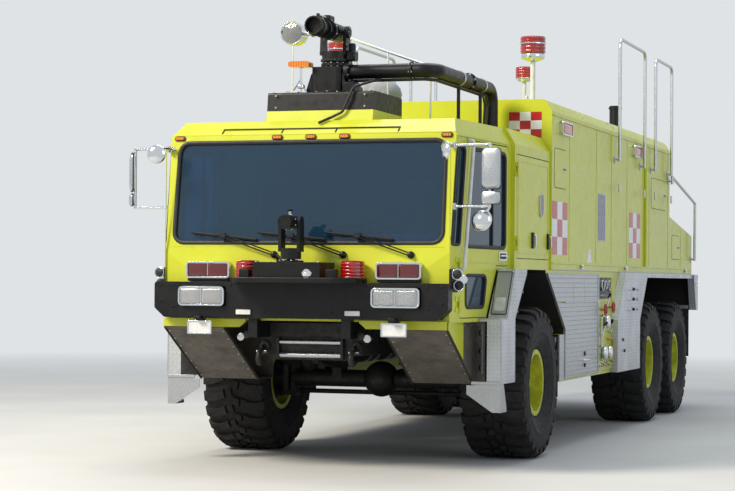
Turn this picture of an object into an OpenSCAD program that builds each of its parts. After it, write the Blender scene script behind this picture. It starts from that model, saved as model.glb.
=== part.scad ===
// Six-wheel airport fire truck, in millimetres. The front faces -Y and the ground is Z = 0.
// Places along Y are measured from the front axle. place() then moves every piece so that
// the origin lies on the ground below the middle of the vehicle.

/* [Layout] */
// front axle to middle axle
wheelbase = 5370; // [5200:10:5700]
// middle axle to rear axle
tandem = 1650; // [1560:10:1800]
// foremost point of the bumper deck, ahead of the front axle
front_overhang = 2560; // [2540:5:2640]
// rear face behind the rear axle
rear_overhang = 1430; // [1380:10:1560]
// middle of the vehicle to the outer face of tyres and fenders
half_width = 1525; // [1500:5:1560]

/* [Wheels] */
// outer diameter of a tyre
tyre_d = 1360; // [1300:10:1380]
// width of a tyre
tyre_w = 600; // [560:10:610]
// diameter over the rim flanges
rim_d = 600; // [580:5:620]
// width of a rim between its flanges
rim_w = 460; // [430:5:480]
// diameter of the rim's bead seat
seat_d = 540; // [520:5:560]
// diameter of the spindle that a hub turns on
spindle_d = 80; // [60:2:100]
// running gap between spindle and hub
bearing_gap = 0.5; // [0.3:0.1:1]
// diameter of the brake drum
brake_d = 400; // [360:10:430]

/* [Steering] */
// middle of the vehicle to the kingpin
kingpin_x = 950; // [940:2:960]
// kingpin diameter
kingpin_d = 50; // [40:2:56]
// length of the steering arm behind the kingpin
arm_back = 170; // [160:5:175]
// drop of the steering arm's underside below the wheel centre
arm_drop = 112; // [105:1:114]
// diameter of the tie rod
tie_rod_d = 44; // [36:2:50]

/* [Frame] */
// outer faces of the frame rails from the middle
rail_out = 450; // [440:5:470]
// width of a frame rail
rail_w = 80; // [70:5:90]
// underside of the frame rails above the ground
rail_z = 960; // [950:5:980]
// height of a frame rail
rail_h = 270; // [240:10:280]
// axle tube diameter
axle_d = 160; // [140:5:170]
// width of a leaf spring
leaf_w = 90; // [80:5:100]

/* [Cab] */
// foot of the front face, ahead of the front axle
cab_front = 2110; // [2090:5:2120]
// how far the front face leans back up to the seam
face_lean = 165; // [140:5:190]
// half width of the cab at its front
cab_half = 1255; // [1235:5:1265]
// half width of the cab at its rear wall
cab_half_rear = 1392; // [1385:1:1400]
// rear wall of the cab, ahead of the front axle
cab_rear = 640; // [630:2:645]
// underside of the cab
cab_z = 1250; // [1240:5:1255]
// height where the front face starts to lean
face_z = 1580; // [1560:5:1600]
// height of the seam where the roof edge starts
seam_z = 2820; // [2800:5:2830]
// height of the cab roof
roof_z = 2940; // [2930:5:2960]
// underside of the cab over the front wheels
arch_z = 1690; // [1685:5:1700]
// thickness of walls, roof and floor
wall = 50; // [44:2:56]
// thickness of the window panes
glass = 10; // [6:1:14]
// free gap around glass
glass_gap = 0.3; // [0.3:0.1:1]

/* [Doors] */
// free gap around a door
door_gap = 7; // [6:0.5:9]
// thickness of doors and lids
door_t = 44; // [38:2:44]
// distance of a hinge axis from the panel that it carries
hinge_out = 13; // [12:0.5:15]
// radius of a hinge barrel
barrel_r = 10; // [9:0.5:11]
// radius of a hinge pin
pin_r = 5; // [4:0.5:6]
// running gap of a hinge pin
pin_gap = 0.4; // [0.3:0.1:0.6]

/* [Body] */
// half width of the tank body
body_half = 1440; // [1430:5:1450]
// front face of the tank body behind the front axle
tank_front = 680; // [675:5:700]
// underside of the tank body
body_z = 1700; // [1700:5:1710]
// top of the tank body's sides
side_top = 3200; // [3150:10:3240]
// top of the tank body
tank_top = 3310; // [3300:5:3340]
// upright rear wall of the tank, ahead of the rear face
hood_len = 1610; // [1500:10:1700]
// height of the engine hood at the tank
hood_z = 2400; // [2300:10:2450]
// height of the engine hood at the rear face
tail_z = 2195; // [2150:5:2250]
// half width of the locker section behind the cab
locker_half = 1425; // [1420:1:1430]
// depth of the lockers
locker_depth = 420; // [360:10:460]
// inner face of the low side boxes from the middle
box_in = 760; // [740:10:800]
// underside of the low side boxes
box_z = 640; // [620:5:660]

/* [Turrets] */
// roof turret behind the foremost cab face
turret_back = 750; // [720:5:780]
// top of the fixed turret pedestal
pedestal_z = 3470; // [3460:5:3490]
// diameter of the spindle that a turret turns on
turret_pin_d = 70; // [60:2:80]
// diameter of the roof turret's barrel
barrel_d = 156; // [140:2:170]
// height of the roof turret's barrel
roof_aim_z = 3735; // [3720:5:3750]
// bumper turret ahead of the front axle
low_turret = 2400; // [2390:5:2410]
// height of the bumper turret's barrel
low_aim_z = 2060; // [2050:5:2080]

/* [Hidden] */
$fn = 48;
PAINT = "#c8d42a";
PLATE = "#b4b8bc";
BLACK = "#26282a";
DARK = "#45484b";
STEEL = "#8a8e92";
CHROME = "#d4d8dc";
GLASS = "#4a5a66";
RED = "#b01818";
RUBBER = "#1c1d1e";

// Fits and small sizes
seat = 0.3;
plate_t = 6;
sides = [-1, 1];

// Axles
mid_y = wheelbase;
rear_y = wheelbase + tandem;
tail_y = rear_y + rear_overhang;
origin_y = (tail_y - front_overhang) / 2;
axle_z = tyre_d / 2;
wheel_x = half_width - tyre_w / 2;
drum_in = wheel_x - 190;
drum_out = wheel_x - 70;
hub_len = 140;
rail_in = rail_out - rail_w;
rail_top = rail_z + rail_h;
rail_y0 = -cab_front + 210;
rail_y1 = tail_y - 150;
spring_x = (rail_out + rail_in) / 2;
axle_top = axle_z + axle_d / 2;
eye_r = 28;
ball_r = 14;

// Cab
front_y = -cab_front;
seam_y = front_y + face_lean;
roof_y = seam_y + 165;
cab_end = -cab_rear;
cab_taper = atan((cab_half_rear - cab_half) / (cab_front - cab_rear));
side_len = (cab_front - cab_rear) / cos(cab_taper);
bumper_y = front_y - 126;
lamp_depth = 70;
roof_edge_z = roof_z - 140;
roof_edge_in = 80;
slope_low = [-1260, cab_z];
slope_top = [-1000, arch_z];
slope_run = (slope_top[0] - slope_low[0]) / (arch_z - cab_z);
// how far the door stays ahead of the sloping underside, and the fender behind the door
sill_step = 25;
fender_step = 40;
fender_z = 730;
fender_y0 = -1430;
arch = tyre_d / 2 + 295;

// Cab door, along the cab's side from its front corner
door_front_low = 236;
door_front_top = 464;
door_rear = side_len - wall - door_gap - 8;
door_low = cab_z + 40;
door_top = seam_z - 58;
door_arch_z = arch_z + 40;
ledge_z = door_low - 12;
window_z = 1880;
window_top = seam_z - 120;
hinge_y = door_front_low - 14;

// plates under the cab: the sloping approach plate and the wall of the step well behind it
plate_top = cab_z - 60;
plate_low = fender_z - 10;
plate_y1 = -1312;
well_y0 = -1670;
function plate_z(y) = plate_top - (y - front_y) * (plate_top - plate_low) / (plate_y1 - front_y);

// Locker section and its doors
locker_y0 = -570;
locker_y1 = 630;
locker_z0 = 1800;
locker_z1 = 2710;

// Places along the body
box_y0 = 980;
box_step = 215;
box_nose = box_y0 - 520;
arch_front = mid_y - 800;
arch_rear = rear_y + 1120;
fender_len = 1206;
panel_len = 663;
panel_end = arch_front - fender_len - 1;
shutter_split = panel_end - panel_len - 10;
hood_y = tail_y - hood_len;
tail_box_y = tail_y - 130;
tail_box_z = 1246;
tail_box_end = tail_y - 20;
slat = 45;
grille_half = 900;
grille_z0 = body_z + 90;
grille_z1 = tail_z - 85;
grille_depth = 60;

// Turrets
turret_y = front_y + turret_back;
plinth_half = 479;
plinth_z = 3030;
base_z = 3190;
rail_d = 36;
trunnion_r = 12;
roof_cheek = 92;
low_cheek = 68;
cheek_t = 26;
deck_z = 1735;
low_y = -low_turret;

// Helpers

module place() {
    translate([0, -origin_y, 0]) children();
}

// a (y, z) profile drawn across the vehicle, from x0 to x1
module across(x0, x1) {
    translate([x0, 0, 0]) rotate([90, 0, 90]) linear_extrude(x1 - x0) children();
}

// an (x, z) profile drawn along the vehicle, from y0 to y1
module along(y0, y1) {
    translate([0, y1, 0]) rotate([90, 0, 0]) linear_extrude(y1 - y0) children();
}

module mirrored(s) {
    mirror([s < 0 ? 1 : 0, 0, 0]) children();
}

module both() {
    for (s = sides) mirrored(s) children();
}

module block(lo, hi) {
    translate(lo) cube(hi - lo);
}

// a round bar from point p to point q
module bar(p, q, d) {
    v = q - p;
    translate(p) rotate([0, acos(v[2] / norm(v)), atan2(v[1], v[0])]) cylinder(d = d, h = norm(v));
}

function unit(v) = v / norm(v);
function turned(v, a) = [v[0] * cos(a) - v[1] * sin(a), v[0] * sin(a) + v[1] * cos(a)];

// arc of radius r that rounds the corner b between a and c, in n steps
function corner(a, b, c, r, n) =
    let (u = unit(a - b), w = unit(c - b), half = acos(max(-1, min(1, u * w))) / 2)
    let (m = b + unit(u + w) * r / sin(half), start = b + u * r / tan(half) - m)
    let (turn = (cross(u, w) > 0 ? -1 : 1) * (180 - 2 * half))
    r <= 0 ? [b] : [for (i = [0:n]) m + turned(start, turn * i / n)];

// outline with rounded corners; r is one radius or one for each corner
function rounded(points, r, n = 4) = let (k = len(points)) [
    for (i = [0:k - 1])
        each corner(points[(i + k - 1) % k], points[i], points[(i + 1) % k], is_list(r) ? r[i] : r, n)
];

// a bent tube in the plane at x, along (y, z) points, with bends of radius r at the inner points
module tube(x, points, d, r) {
    n = len(points) - 1;
    function half_angle(i) = acos(unit(points[i - 1] - points[i]) * unit(points[i + 1] - points[i])) / 2;
    function trim(i) = i == 0 || i == n ? 0 : r / tan(half_angle(i));
    for (i = [0:n - 1]) {
        along_it = unit(points[i + 1] - points[i]);
        p = points[i] + along_it * trim(i);
        q = points[i + 1] - along_it * trim(i + 1);
        bar([x, p[0], p[1]], [x, q[0], q[1]], d);
    }
    for (i = [1:n - 1]) {
        u = unit(points[i - 1] - points[i]);
        w = unit(points[i + 1] - points[i]);
        middle = points[i] + unit(u + w) * r / sin(half_angle(i));
        start = points[i] + u * trim(i) - middle;
        sweep = (cross(u, w) > 0 ? -1 : 1) * (180 - 2 * half_angle(i));
        translate([x, middle[0], middle[1]]) rotate([90, 0, 90])
            rotate([0, 0, atan2(start[1], start[0]) + min(0, sweep)])
                rotate_extrude(angle = abs(sweep), $fn = 32) translate([r, 0]) circle(d = d);
    }
}

// a tube in the plane at x, straight between its (y, z) points, with a ball joint at each inner point
module jointed_tube(x, points, d) {
    for (i = [1:len(points) - 1])
        bar([x, points[i - 1][0], points[i - 1][1]], [x, points[i][0], points[i][1]], d);
    for (i = [1:len(points) - 2]) translate([x, points[i][0], points[i][1]]) sphere(d = d + 4);
}

function rect(lo, hi) = [[lo[0], lo[1]], [hi[0], lo[1]], [hi[0], hi[1]], [lo[0], hi[1]]];

// the frame of a cab side: X outwards from the panel, Y back along it from the front corner
module on_cab_side(s) {
    mirrored(s) translate([cab_half, front_y, 0]) rotate([0, 0, -cab_taper]) children();
}

// Wheels and axles

module tyre(at) {
    half = tyre_w / 2;
    r0 = seat_d / 2 + seat;
    r1 = rim_d / 2 + 4;
    rim_half = rim_w / 2 - seat;
    r2 = tyre_d / 2;
    section = rounded([
        [r0, -rim_half], [r1, -rim_half], [r1 + 20, -rim_half - 30], [r2 - 210, -half], [r2 - 90, -half],
        [r2 - 30, -half + 12], [r2 - 10, -half + 60], [r2, -half + 160], [r2, half - 160], [r2 - 10, half - 60],
        [r2 - 30, half - 12], [r2 - 90, half], [r2 - 210, half], [r1 + 20, rim_half + 30], [r1, rim_half],
        [r0, rim_half]
    ], [0, 0, 14, 60, 40, 16, 30, 0, 0, 30, 16, 40, 60, 14, 0, 0], 3);
    color(RUBBER) place() translate(at) rotate([0, 90, 0]) rotate_extrude($fn = 96) polygon(section);
}

// the rim's disc lies outboard of its middle, towards side s
module rim(at, s) {
    r0 = seat_d / 2;
    r1 = rim_d / 2;
    half = rim_w / 2;
    hub = spindle_d / 2 + bearing_gap;
    section = [
        [r0, -half], [r1, -half], [r1, -half - 12], [r0 - 12, -half - 12], [r0 - 12, -10], [r0 - 40, 30],
        [180, 96], [96, 104], [96, -60], [hub, -60], [hub, hub_len], [0, hub_len], [0, hub_len + 30],
        [80, hub_len + 30], [96, hub_len + 10], [96, 124], [170, 118], [r0 - 24, 52], [r0 - 12, half + 12],
        [r1, half + 12], [r1, half], [r0, half]
    ];
    color(PAINT) place() translate(at) rotate([0, 90 * s, 0]) rotate_extrude($fn = 96) polygon(section);
}

// brake drum and spindle at the end of an axle, for the wheel at +X
module wheel_carrier() {
    end = wheel_x + hub_len - 5;
    translate([drum_in, 0, axle_z]) rotate([0, 90, 0]) {
        cylinder(d = brake_d, h = drum_out - drum_in);
        cylinder(d = spindle_d, h = end - drum_in);
    }
}

module axle_head(front) {
    // differential housing with its drive flange, to the front or to the rear
    translate([0, 0, axle_z]) {
        sphere(d = 330);
        rotate([front * 90, 0, 0]) cylinder(d = 170, h = 250);
    }
}

module front_axle() {
    lug_r = 64;
    fork_z = 118;
    color(DARK) place() {
        axle_head(-1);
        both() {
            translate([0, 0, axle_z]) rotate([0, 90, 0]) cylinder(d = axle_d, h = kingpin_x - 80);
            difference() {
                union() {
                    for (z = [axle_z + fork_z + seat, axle_z - fork_z - 50 - seat])
                        translate([kingpin_x, 0, z]) cylinder(r = lug_r, h = 50);
                    for (z = [axle_z + fork_z + seat, axle_z - fork_z - 50 - seat])
                        block([kingpin_x - 120, -lug_r, z], [kingpin_x, lug_r, z + 50]);
                    block([kingpin_x - 120, -lug_r, axle_z - fork_z - 50],
                        [kingpin_x - 74, lug_r, axle_z + fork_z + 50]);
                }
                translate([kingpin_x, 0, axle_z - 250]) cylinder(d = kingpin_d + 2 * pin_gap, h = 500);
            }
            block([spring_x - leaf_w / 2, -90, axle_z], [spring_x + leaf_w / 2, 90, axle_top + 20]);
        }
    }
}

module driven_axle(y) {
    color(DARK) place() translate([0, y, 0]) {
        axle_head(1);
        both() {
            translate([0, 0, axle_z]) rotate([0, 90, 0]) cylinder(d = axle_d, h = drum_in);
            wheel_carrier();
            block([spring_x - leaf_w / 2, -90, axle_z], [spring_x + leaf_w / 2, 90, axle_top + 20]);
        }
    }
}

module mid_axle() {
    driven_axle(mid_y);
}

module rear_axle() {
    driven_axle(rear_y);
}

module knuckle(s) {
    arm_z = axle_z - arm_drop;
    color(DARK) place() mirrored(s) {
        wheel_carrier();
        translate([kingpin_x, 0, axle_z - 118]) cylinder(r = 58, h = 236);
        translate([kingpin_x, 0, axle_z - 175]) cylinder(d = kingpin_d, h = 350);
        translate([kingpin_x, 0, axle_z]) rotate([0, 90, 0]) cylinder(d = 150, h = drum_in - kingpin_x);
        block([kingpin_x - 24, 0, arm_z], [kingpin_x + 24, arm_back, arm_z + 36]);
        translate([kingpin_x, arm_back, arm_z]) cylinder(r = eye_r, h = 36);
        translate([kingpin_x, arm_back, arm_z - 44]) cylinder(r = ball_r, h = 80);
    }
}

module knuckle_left() {
    knuckle(1);
}

module knuckle_right() {
    knuckle(-1);
}

// track rod under the steering arms; its right-hand eye is left open around the pin
module tie_rod() {
    eye_z = axle_z - arm_drop - 4 - 36;
    color(STEEL) place() difference() {
        union() {
            bar([-kingpin_x + 24, arm_back, eye_z + 18], [kingpin_x - 24, arm_back, eye_z + 18], tie_rod_d);
            for (s = sides) translate([s * kingpin_x, arm_back, eye_z]) cylinder(r = eye_r, h = 36);
        }
        for (s = sides) translate([s * kingpin_x, arm_back, eye_z - 10]) cylinder(r = ball_r + pin_gap, h = 60);
    }
}

module rim_front_left() {
    rim([wheel_x, 0, axle_z], 1);
}

module rim_front_right() {
    rim([-wheel_x, 0, axle_z], -1);
}

module rim_mid_left() {
    rim([wheel_x, mid_y, axle_z], 1);
}

module rim_mid_right() {
    rim([-wheel_x, mid_y, axle_z], -1);
}

module rim_rear_left() {
    rim([wheel_x, rear_y, axle_z], 1);
}

module rim_rear_right() {
    rim([-wheel_x, rear_y, axle_z], -1);
}

module tyre_front_left() {
    tyre([wheel_x, 0, axle_z]);
}

module tyre_front_right() {
    tyre([-wheel_x, 0, axle_z]);
}

module tyre_mid_left() {
    tyre([wheel_x, mid_y, axle_z]);
}

module tyre_mid_right() {
    tyre([-wheel_x, mid_y, axle_z]);
}

module tyre_rear_left() {
    tyre([wheel_x, rear_y, axle_z]);
}

module tyre_rear_right() {
    tyre([-wheel_x, rear_y, axle_z]);
}

// Frame and drive

module frame_rails() {
    members = [rail_y0 + 50, -760, 1250, 2850, 4480, (mid_y + rear_y) / 2, tail_y - 250];
    // each outrigger: middle along Y, underside of what it carries
    outriggers = [
        [-1780, cab_z], [-1340, cab_z], [-380, body_z], [1000, body_z], [2400, body_z], [3900, body_z],
        [(mid_y + rear_y) / 2, body_z], [tail_y - 420, body_z]
    ];
    color(BLACK) place() {
        both() {
            block([rail_in, rail_y0, rail_z], [rail_out, rail_y1, rail_top]);
            for (o = outriggers) block([rail_in, o[0] - 60, rail_top], [rail_out, o[0] + 60, o[1] - seat]);
        }
        for (y = members) block([-rail_in, y - 50, rail_top - 120], [rail_in, y + 50, rail_top]);
    }
}

// a leaf pack: flat in the middle, with both ends raised or dropped by rise
module leaf_pack(y, z, reach, rise, thick) {
    across(spring_x - leaf_w / 2, spring_x + leaf_w / 2) polygon([
        [y - reach, z + rise], [y - 120, z], [y + 120, z], [y + reach, z + rise],
        [y + reach, z + rise + 22], [y + 140, z + thick], [y - 140, z + thick], [y - reach, z + rise + 22]
    ]);
}

module springs() {
    bed = axle_top + 20 + seat;
    middle = (mid_y + rear_y) / 2;
    color(DARK) place() both() {
        leaf_pack(0, bed, 640, 60, 80);
        for (y = [-640, 640])
            block([spring_x - 30, y - 28, bed + 62], [spring_x + 30, y + 28, rail_z - seat]);
        across(spring_x - leaf_w / 2, spring_x + leaf_w / 2) polygon([
            [mid_y - 90, bed], [mid_y + 90, bed], [middle - 150, bed + 60], [middle + 150, bed + 60],
            [rear_y - 90, bed], [rear_y + 90, bed], [rear_y + 90, bed + 26], [middle + 170, bed + 120],
            [middle - 170, bed + 120], [mid_y - 90, bed + 26]
        ]);
        block([spring_x - 40, middle - 90, bed + 119], [spring_x + 40, middle + 90, rail_z - seat]);
    }
}

module drivetrain() {
    box_z0 = 800;
    case_y = 3300;
    shaft = 84;
    joint = 7;
    color(DARK) place() {
        block([-190, case_y - 260, box_z0], [190, case_y + 260, box_z0 + 330]);
        for (s = sides) block([s > 0 ? 150 : -rail_in + seat, case_y - 60, 1000],
            [s > 0 ? rail_in - seat : -150, case_y + 60, 1090]);
        bar([0, 250 + joint, axle_z], [0, case_y - 255, box_z0 + 90], shaft);
        bar([0, case_y + 255, box_z0 + 90], [0, mid_y - 250 - joint, axle_z], shaft);
        bar([0, case_y + 255, rail_z + 85], [0, rear_y + 170 - seat, rail_z + 85], shaft);
        bar([0, mid_y + 165 + seat, axle_z], [0, rear_y - 250 - seat, axle_z], shaft);
    }
}

module engine_block() {
    y0 = rear_y + 170;
    y1 = tail_y - 330;
    color(DARK) place() {
        block([-330, y0, rail_z - 40], [330, y1, body_z - seat]);
        for (y = [y0 + 100, y1 - 220])
            block([-rail_in + seat, y, rail_z + 80], [rail_in - seat, y + 120, rail_z + 160]);
    }
}

// Cab

function cab_side_profile(t) = [
    [front_y + t, cab_z + t], [front_y + t, face_z], [seam_y + t, seam_z],
    [roof_y + t * 0.3, roof_z - t], [cab_end - t, roof_z - t], [cab_end - t, arch_z + t],
    [slope_top[0] - t * 0.5, arch_z + t], [slope_low[0] - t * 0.5, cab_z + t]
];

// the cab's outer form, taken in by t on every side
module cab_form(t) {
    intersection() {
        across(-1500, 1500) polygon(cab_side_profile(t));
        side_envelope(1, t);
        side_envelope(-1, t);
    }
}

module side_envelope(s, t) {
    reach = 3000;
    on_cab_side(s) along(-200, reach) polygon([
        [-reach, 0], [-t, 0], [-t, roof_edge_z], [-roof_edge_in - t, roof_z], [-reach, roof_z]
    ]);
}

// outline of the cab door on the cab side, made larger by g
function door_outline(g) = rounded([
    [door_front_low - g, door_low - g], [door_slope(door_low) + g * 0.4, door_low - g],
    [door_slope(door_arch_z) + g * 0.4, door_arch_z - g], [door_rear + g, door_arch_z - g],
    [door_rear + g, door_top + g], [door_front_top - g, door_top + g]
], [30 + g, 12, 12, 30 + g, 60 + g, 60 + g], 3);

// the door's lower rear edge, parallel to the sloping underside: along Y, and along the cab side
function slope_y(z) = slope_low[0] - sill_step + (z - cab_z) * slope_run;
function door_slope(z) = (slope_y(z) - front_y) / cos(cab_taper);

// the front face at height z
function face_y(z) = front_y + max(0, z - face_z) * face_lean / (seam_z - face_z);

function door_window() =
    rounded([[380, window_z], [door_rear - 82, window_z], [door_rear - 82, window_top], [545, window_top]], 55, 3);
function foot_window() =
    rounded([[385, door_low + 82], [800, door_low + 82], [870, door_low + 350], [385, door_low + 350]], 45, 3);
function quarter_window() =
    rounded([[52, window_z + 10], [238, window_z + 10], [366, window_top], [180, window_top]], [36, 36, 40, 40], 3);
function windshield_outline() =
    let (half = cab_half - 63, top = seam_z - 68)
    rounded([[-half, window_z + 20], [half, window_z + 20], [half - 6, top], [6 - half, top]], 90, 5);

// hinge barrels on the panel side, and the pin with its barrels on the fixed side
module hinge_leaf(y, z, reach) {
    difference() {
        union() {
            translate([hinge_out, y, z - 24]) cylinder(r = barrel_r, h = 48);
            block([seat, y, z - 24], [8, y + reach, z + 24]);
            block([-2, y + reach - 60, z - 24], [8, y + reach, z + 24]);
        }
        translate([hinge_out, y, z - 30]) cylinder(r = pin_r + pin_gap, h = 60);
    }
}

module hinge_post(y, z, back) {
    translate([hinge_out, y, z - 60]) cylinder(r = pin_r, h = 120);
    for (z0 = [z - 62, z + 24 + pin_gap]) {
        translate([hinge_out, y, z0]) cylinder(r = barrel_r, h = 38 - pin_gap);
        block([-2, y - back, z0], [8, y, z0 + 38 - pin_gap]);
    }
}

door_hinges = [[1400, 110], [1720, 170]];

module cab_shell() {
    color(PAINT) place() {
        difference() {
            cab_form(0);
            cab_form(wall);
            along(front_y - 100, front_y + 400) polygon(windshield_outline());
            for (s = sides) on_cab_side(s) across(-150, 100) {
                polygon(door_outline(door_gap));
                polygon(quarter_window());
            }
        }
        for (s = sides) on_cab_side(s) for (h = door_hinges) hinge_post(hinge_y, h[0], 70);
        both() across(cab_half + seat, cab_half + plate_t) polygon([
            [front_y + 2, cab_z + 2], [front_y + 2, plate_z(front_y + 2)], [well_y0 - 1, plate_z(well_y0 - 1)],
            [well_y0 - 1, cab_z + 2]
        ]);
    }
}

module windshield() {
    lean = face_lean / (seam_z - face_z);
    y0 = front_y + 12;
    color(GLASS) place() intersection() {
        along(front_y - 100, front_y + 400) offset_outline(windshield_outline());
        across(-1300, 1300) polygon([
            [y0, face_z], [y0 + face_lean, seam_z], [y0 + face_lean + glass, seam_z], [y0 + glass, face_z]
        ]);
    }
}

// an outline shrunk by the glass gap, about its own middle
module offset_outline(points) {
    xs = [for (p = points) p[0]];
    zs = [for (p = points) p[1]];
    c = [(min(xs) + max(xs)) / 2, (min(zs) + max(zs)) / 2];
    k = 1 - 2 * glass_gap / min(max(xs) - min(xs), max(zs) - min(zs));
    polygon([for (p = points) c + (p - c) * k]);
}

module side_glass() {
    color(GLASS) place() for (s = sides)
        on_cab_side(s) across(-12 - glass, -12) offset_outline(quarter_window());
}

module dashboard() {
    rim_c = [620, -1540, 2010];
    color(BLACK) place() {
        across(-1150, 1150) polygon(rounded([
            [face_y(face_z) + wall + seat, face_z], [-1860, face_z], [-1760, 1740], [-1790, 1850],
            [-1960, 1875], [face_y(1870) + wall + seat, 1870]
        ], [0, 40, 30, 40, 30, 0], 3));
        bar([rim_c[0], -1800, 1790], [rim_c[0], -1556, 1990], 60);
        translate(rim_c) rotate([-50, 0, 0]) {
            rotate_extrude($fn = 48) translate([220, 0]) circle(d = 34, $fn = 20);
            for (a = [0, 120, 240]) rotate([0, 0, a + 90]) translate([0, -18, -9]) cube([215, 36, 18]);
            translate([0, 0, -25]) cylinder(r = 55, h = 40);
        }
    }
}

module seats() {
    back_y = cab_end - wall - 20;
    floor_z = arch_z + wall + seat;
    color(BLACK) place() {
        for (x = [-640, 640]) {
            across(x - 240, x + 240) polygon(rounded([
                [back_y - 560, floor_z], [back_y, floor_z], [back_y, 2440],
                [back_y - 90, 2450], [back_y - 130, floor_z + 140], [back_y - 560, floor_z + 120]
            ], [30, 0, 30, 30, 60, 50], 3));
            across(x - 130, x + 130) polygon(rounded(rect([back_y - 100, 2470], [back_y - 10, 2640]), 30, 3));
            for (d = [-60, 60]) bar([x + d, back_y - 50, 2430], [x + d, back_y - 50, 2480], 14);
        }
        block([-230, back_y - 520, floor_z], [230, back_y - 60, floor_z + 330]);
    }
}

// Front

module front_bumper() {
    half = 1290;
    color(BLACK) place() {
        difference() {
            along(bumper_y, front_y - seat) polygon(rounded([
                [-half + 90, 1270], [half - 90, 1270], [half, 1350], [half, 1570], [-half, 1570], [-half, 1350]
            ], [30, 30, 30, 25, 25, 30], 3));
            for (s = sides) mirrored(s)
                along(bumper_y - 1, bumper_y + lamp_depth)
                    polygon(rounded(rect([640, 1364], [1064, 1536]), 20, 3));
        }
        translate([0, 0, 1570]) linear_extrude(35) polygon(rounded([
            [-560, front_y - seat], [-560, -2350], [-440, -front_overhang], [440, -front_overhang],
            [560, -2350], [560, front_y - seat]
        ], [0, 60, 80, 80, 60, 0], 4));
        block([-290, low_y - 110, 1604], [290, front_y - 40, deck_z]);
        both() {
            block([rail_in, -2200, rail_top - 120], [rail_out, rail_y0 - seat, cab_z - 5]);
            block([rail_in, -2200, rail_top - 20], [rail_out, front_y - 5, 1300]);
        }
        translate([0, low_y, deck_z - 1]) {
            cylinder(d = 150, h = 21);
            cylinder(d = turret_pin_d, h = 86);
        }
    }
}

module front_lamps() {
    color(CHROME) place() both() {
        along(-2270, bumper_y + lamp_depth - seat) polygon(rounded(rect([643, 1367], [1061, 1533]), 18, 3));
        along(-2160, face_y(1600) - seat) polygon(rounded(rect([645, 1600], [1037, 1740]), 16, 3));
        along(-2215, face_y(1610) - seat) polygon(rounded(rect([353, 1610], [572, 1750]), 60, 4));
    }
}

module tow_gear() {
    color(DARK) place() {
        block([-rail_in + seat, rail_y0, rail_z - 40], [rail_in - seat, rail_y0 + 40, rail_top - 121]);
        for (z = [rail_z, rail_z + 110]) bar([-270, rail_y0 - 18, z], [270, rail_y0 - 18, z], 38);
        both() difference() {
            translate([rail_in + 40, rail_y0 - seat, rail_z + 70]) rotate([90, 0, 0]) cylinder(d = 90, h = 30);
            translate([rail_in + 40, rail_y0 + 1, rail_z + 70]) rotate([90, 0, 0]) cylinder(d = 40, h = 60);
        }
    }
}

module approach_plates() {
    back = -arch + plate_t;
    color(DARK) place() both() {
        across(700, cab_half) polygon([
            [front_y, plate_top], [front_y, plate_top - plate_t], [plate_y1, plate_low], [back, plate_low],
            [back, cab_z - 10], [-arch, cab_z - 10], [-arch, plate_low + plate_t],
            [plate_y1 + 3, plate_low + plate_t], [front_y + 4, plate_top + plate_t]
        ]);
        across(cab_half - plate_t, cab_half) polygon([
            [well_y0, cab_z - seat], [well_y0, plate_z(well_y0)], [plate_y1, plate_low], [back, plate_low],
            [back, cab_z - 10], [slope_low[0], cab_z - seat]
        ]);
        block([700, front_y - 2, plate_top], [cab_half, front_y + 4, cab_z - seat]);
    }
}

// Body

module front_fender() {
    top = body_z - seat;
    lip = ledge_z - 25;
    across(cab_half + 142, half_width) polygon([
        [fender_y0, fender_z], [-arch, fender_z], [-arch - 16, lip + 1], [fender_y0, lip + 1]
    ]);
    across(cab_half + 7, half_width) polygon([
        [fender_y0, lip], [-arch - 16, lip], [-arch - 16, top - 420], [-arch + 394, top - 40],
        [-arch + 394, top], [slope_y(top) + fender_step, top], [slope_y(ledge_z) + fender_step, ledge_z],
        [fender_y0, ledge_z]
    ]);
}

module fender_boxes() {
    color(PLATE) place() both() {
        difference() {
            front_fender();
            on_cab_side(1) block([-1000, -100, 1000], [12, side_len + 40, 2000]);
        }
        across(body_half + seat, half_width) polygon([
            [arch_front - fender_len, body_z - 506], [arch_front - fender_len + 411, body_z],
            [arch_front + 460, body_z], [arch_front + 4, body_z - 525], [arch_front + 4, box_z],
            [arch_front - fender_len, box_z]
        ]);
        across(body_half + seat, half_width) polygon([
            [arch_rear, body_z], [tail_y, body_z], [tail_y, tail_box_z], [arch_rear + 170, tail_box_z]
        ]);
        block([body_half + seat, arch_front + 459, body_z - 50], [half_width - 20, arch_rear + 1, body_z]);
    }
}

// step that hangs below the front fender, its front plate cut away at the inner corner
module entry_steps() {
    x0 = cab_half - 35;
    x1 = half_width - 5;
    y0 = fender_y0 + 4;
    y1 = fender_y0 + 190;
    low = 490;
    top = fender_z - seat;
    color(PLATE) place() both() {
        along(y0, y0 + plate_t) polygon([
            [x0, top - 14], [x0, low + 150], [x1 - 75, low], [x1, low], [x1, top], [cab_half + 142, top],
            [x0 + 40, top - 14]
        ]);
        across(x1 - plate_t, x1) polygon([[y0, low], [y1, low], [y1, low + 30], [y0 + 90, top], [y0, top]]);
        along(y0, y1) polygon([[x1 - 75, low], [x1, low], [x1, low + plate_t], [x1 - 75, low + plate_t]]);
        block([x1 - 75, y1 - plate_t, low], [x1, y1, low + 30]);
    }
}

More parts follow.
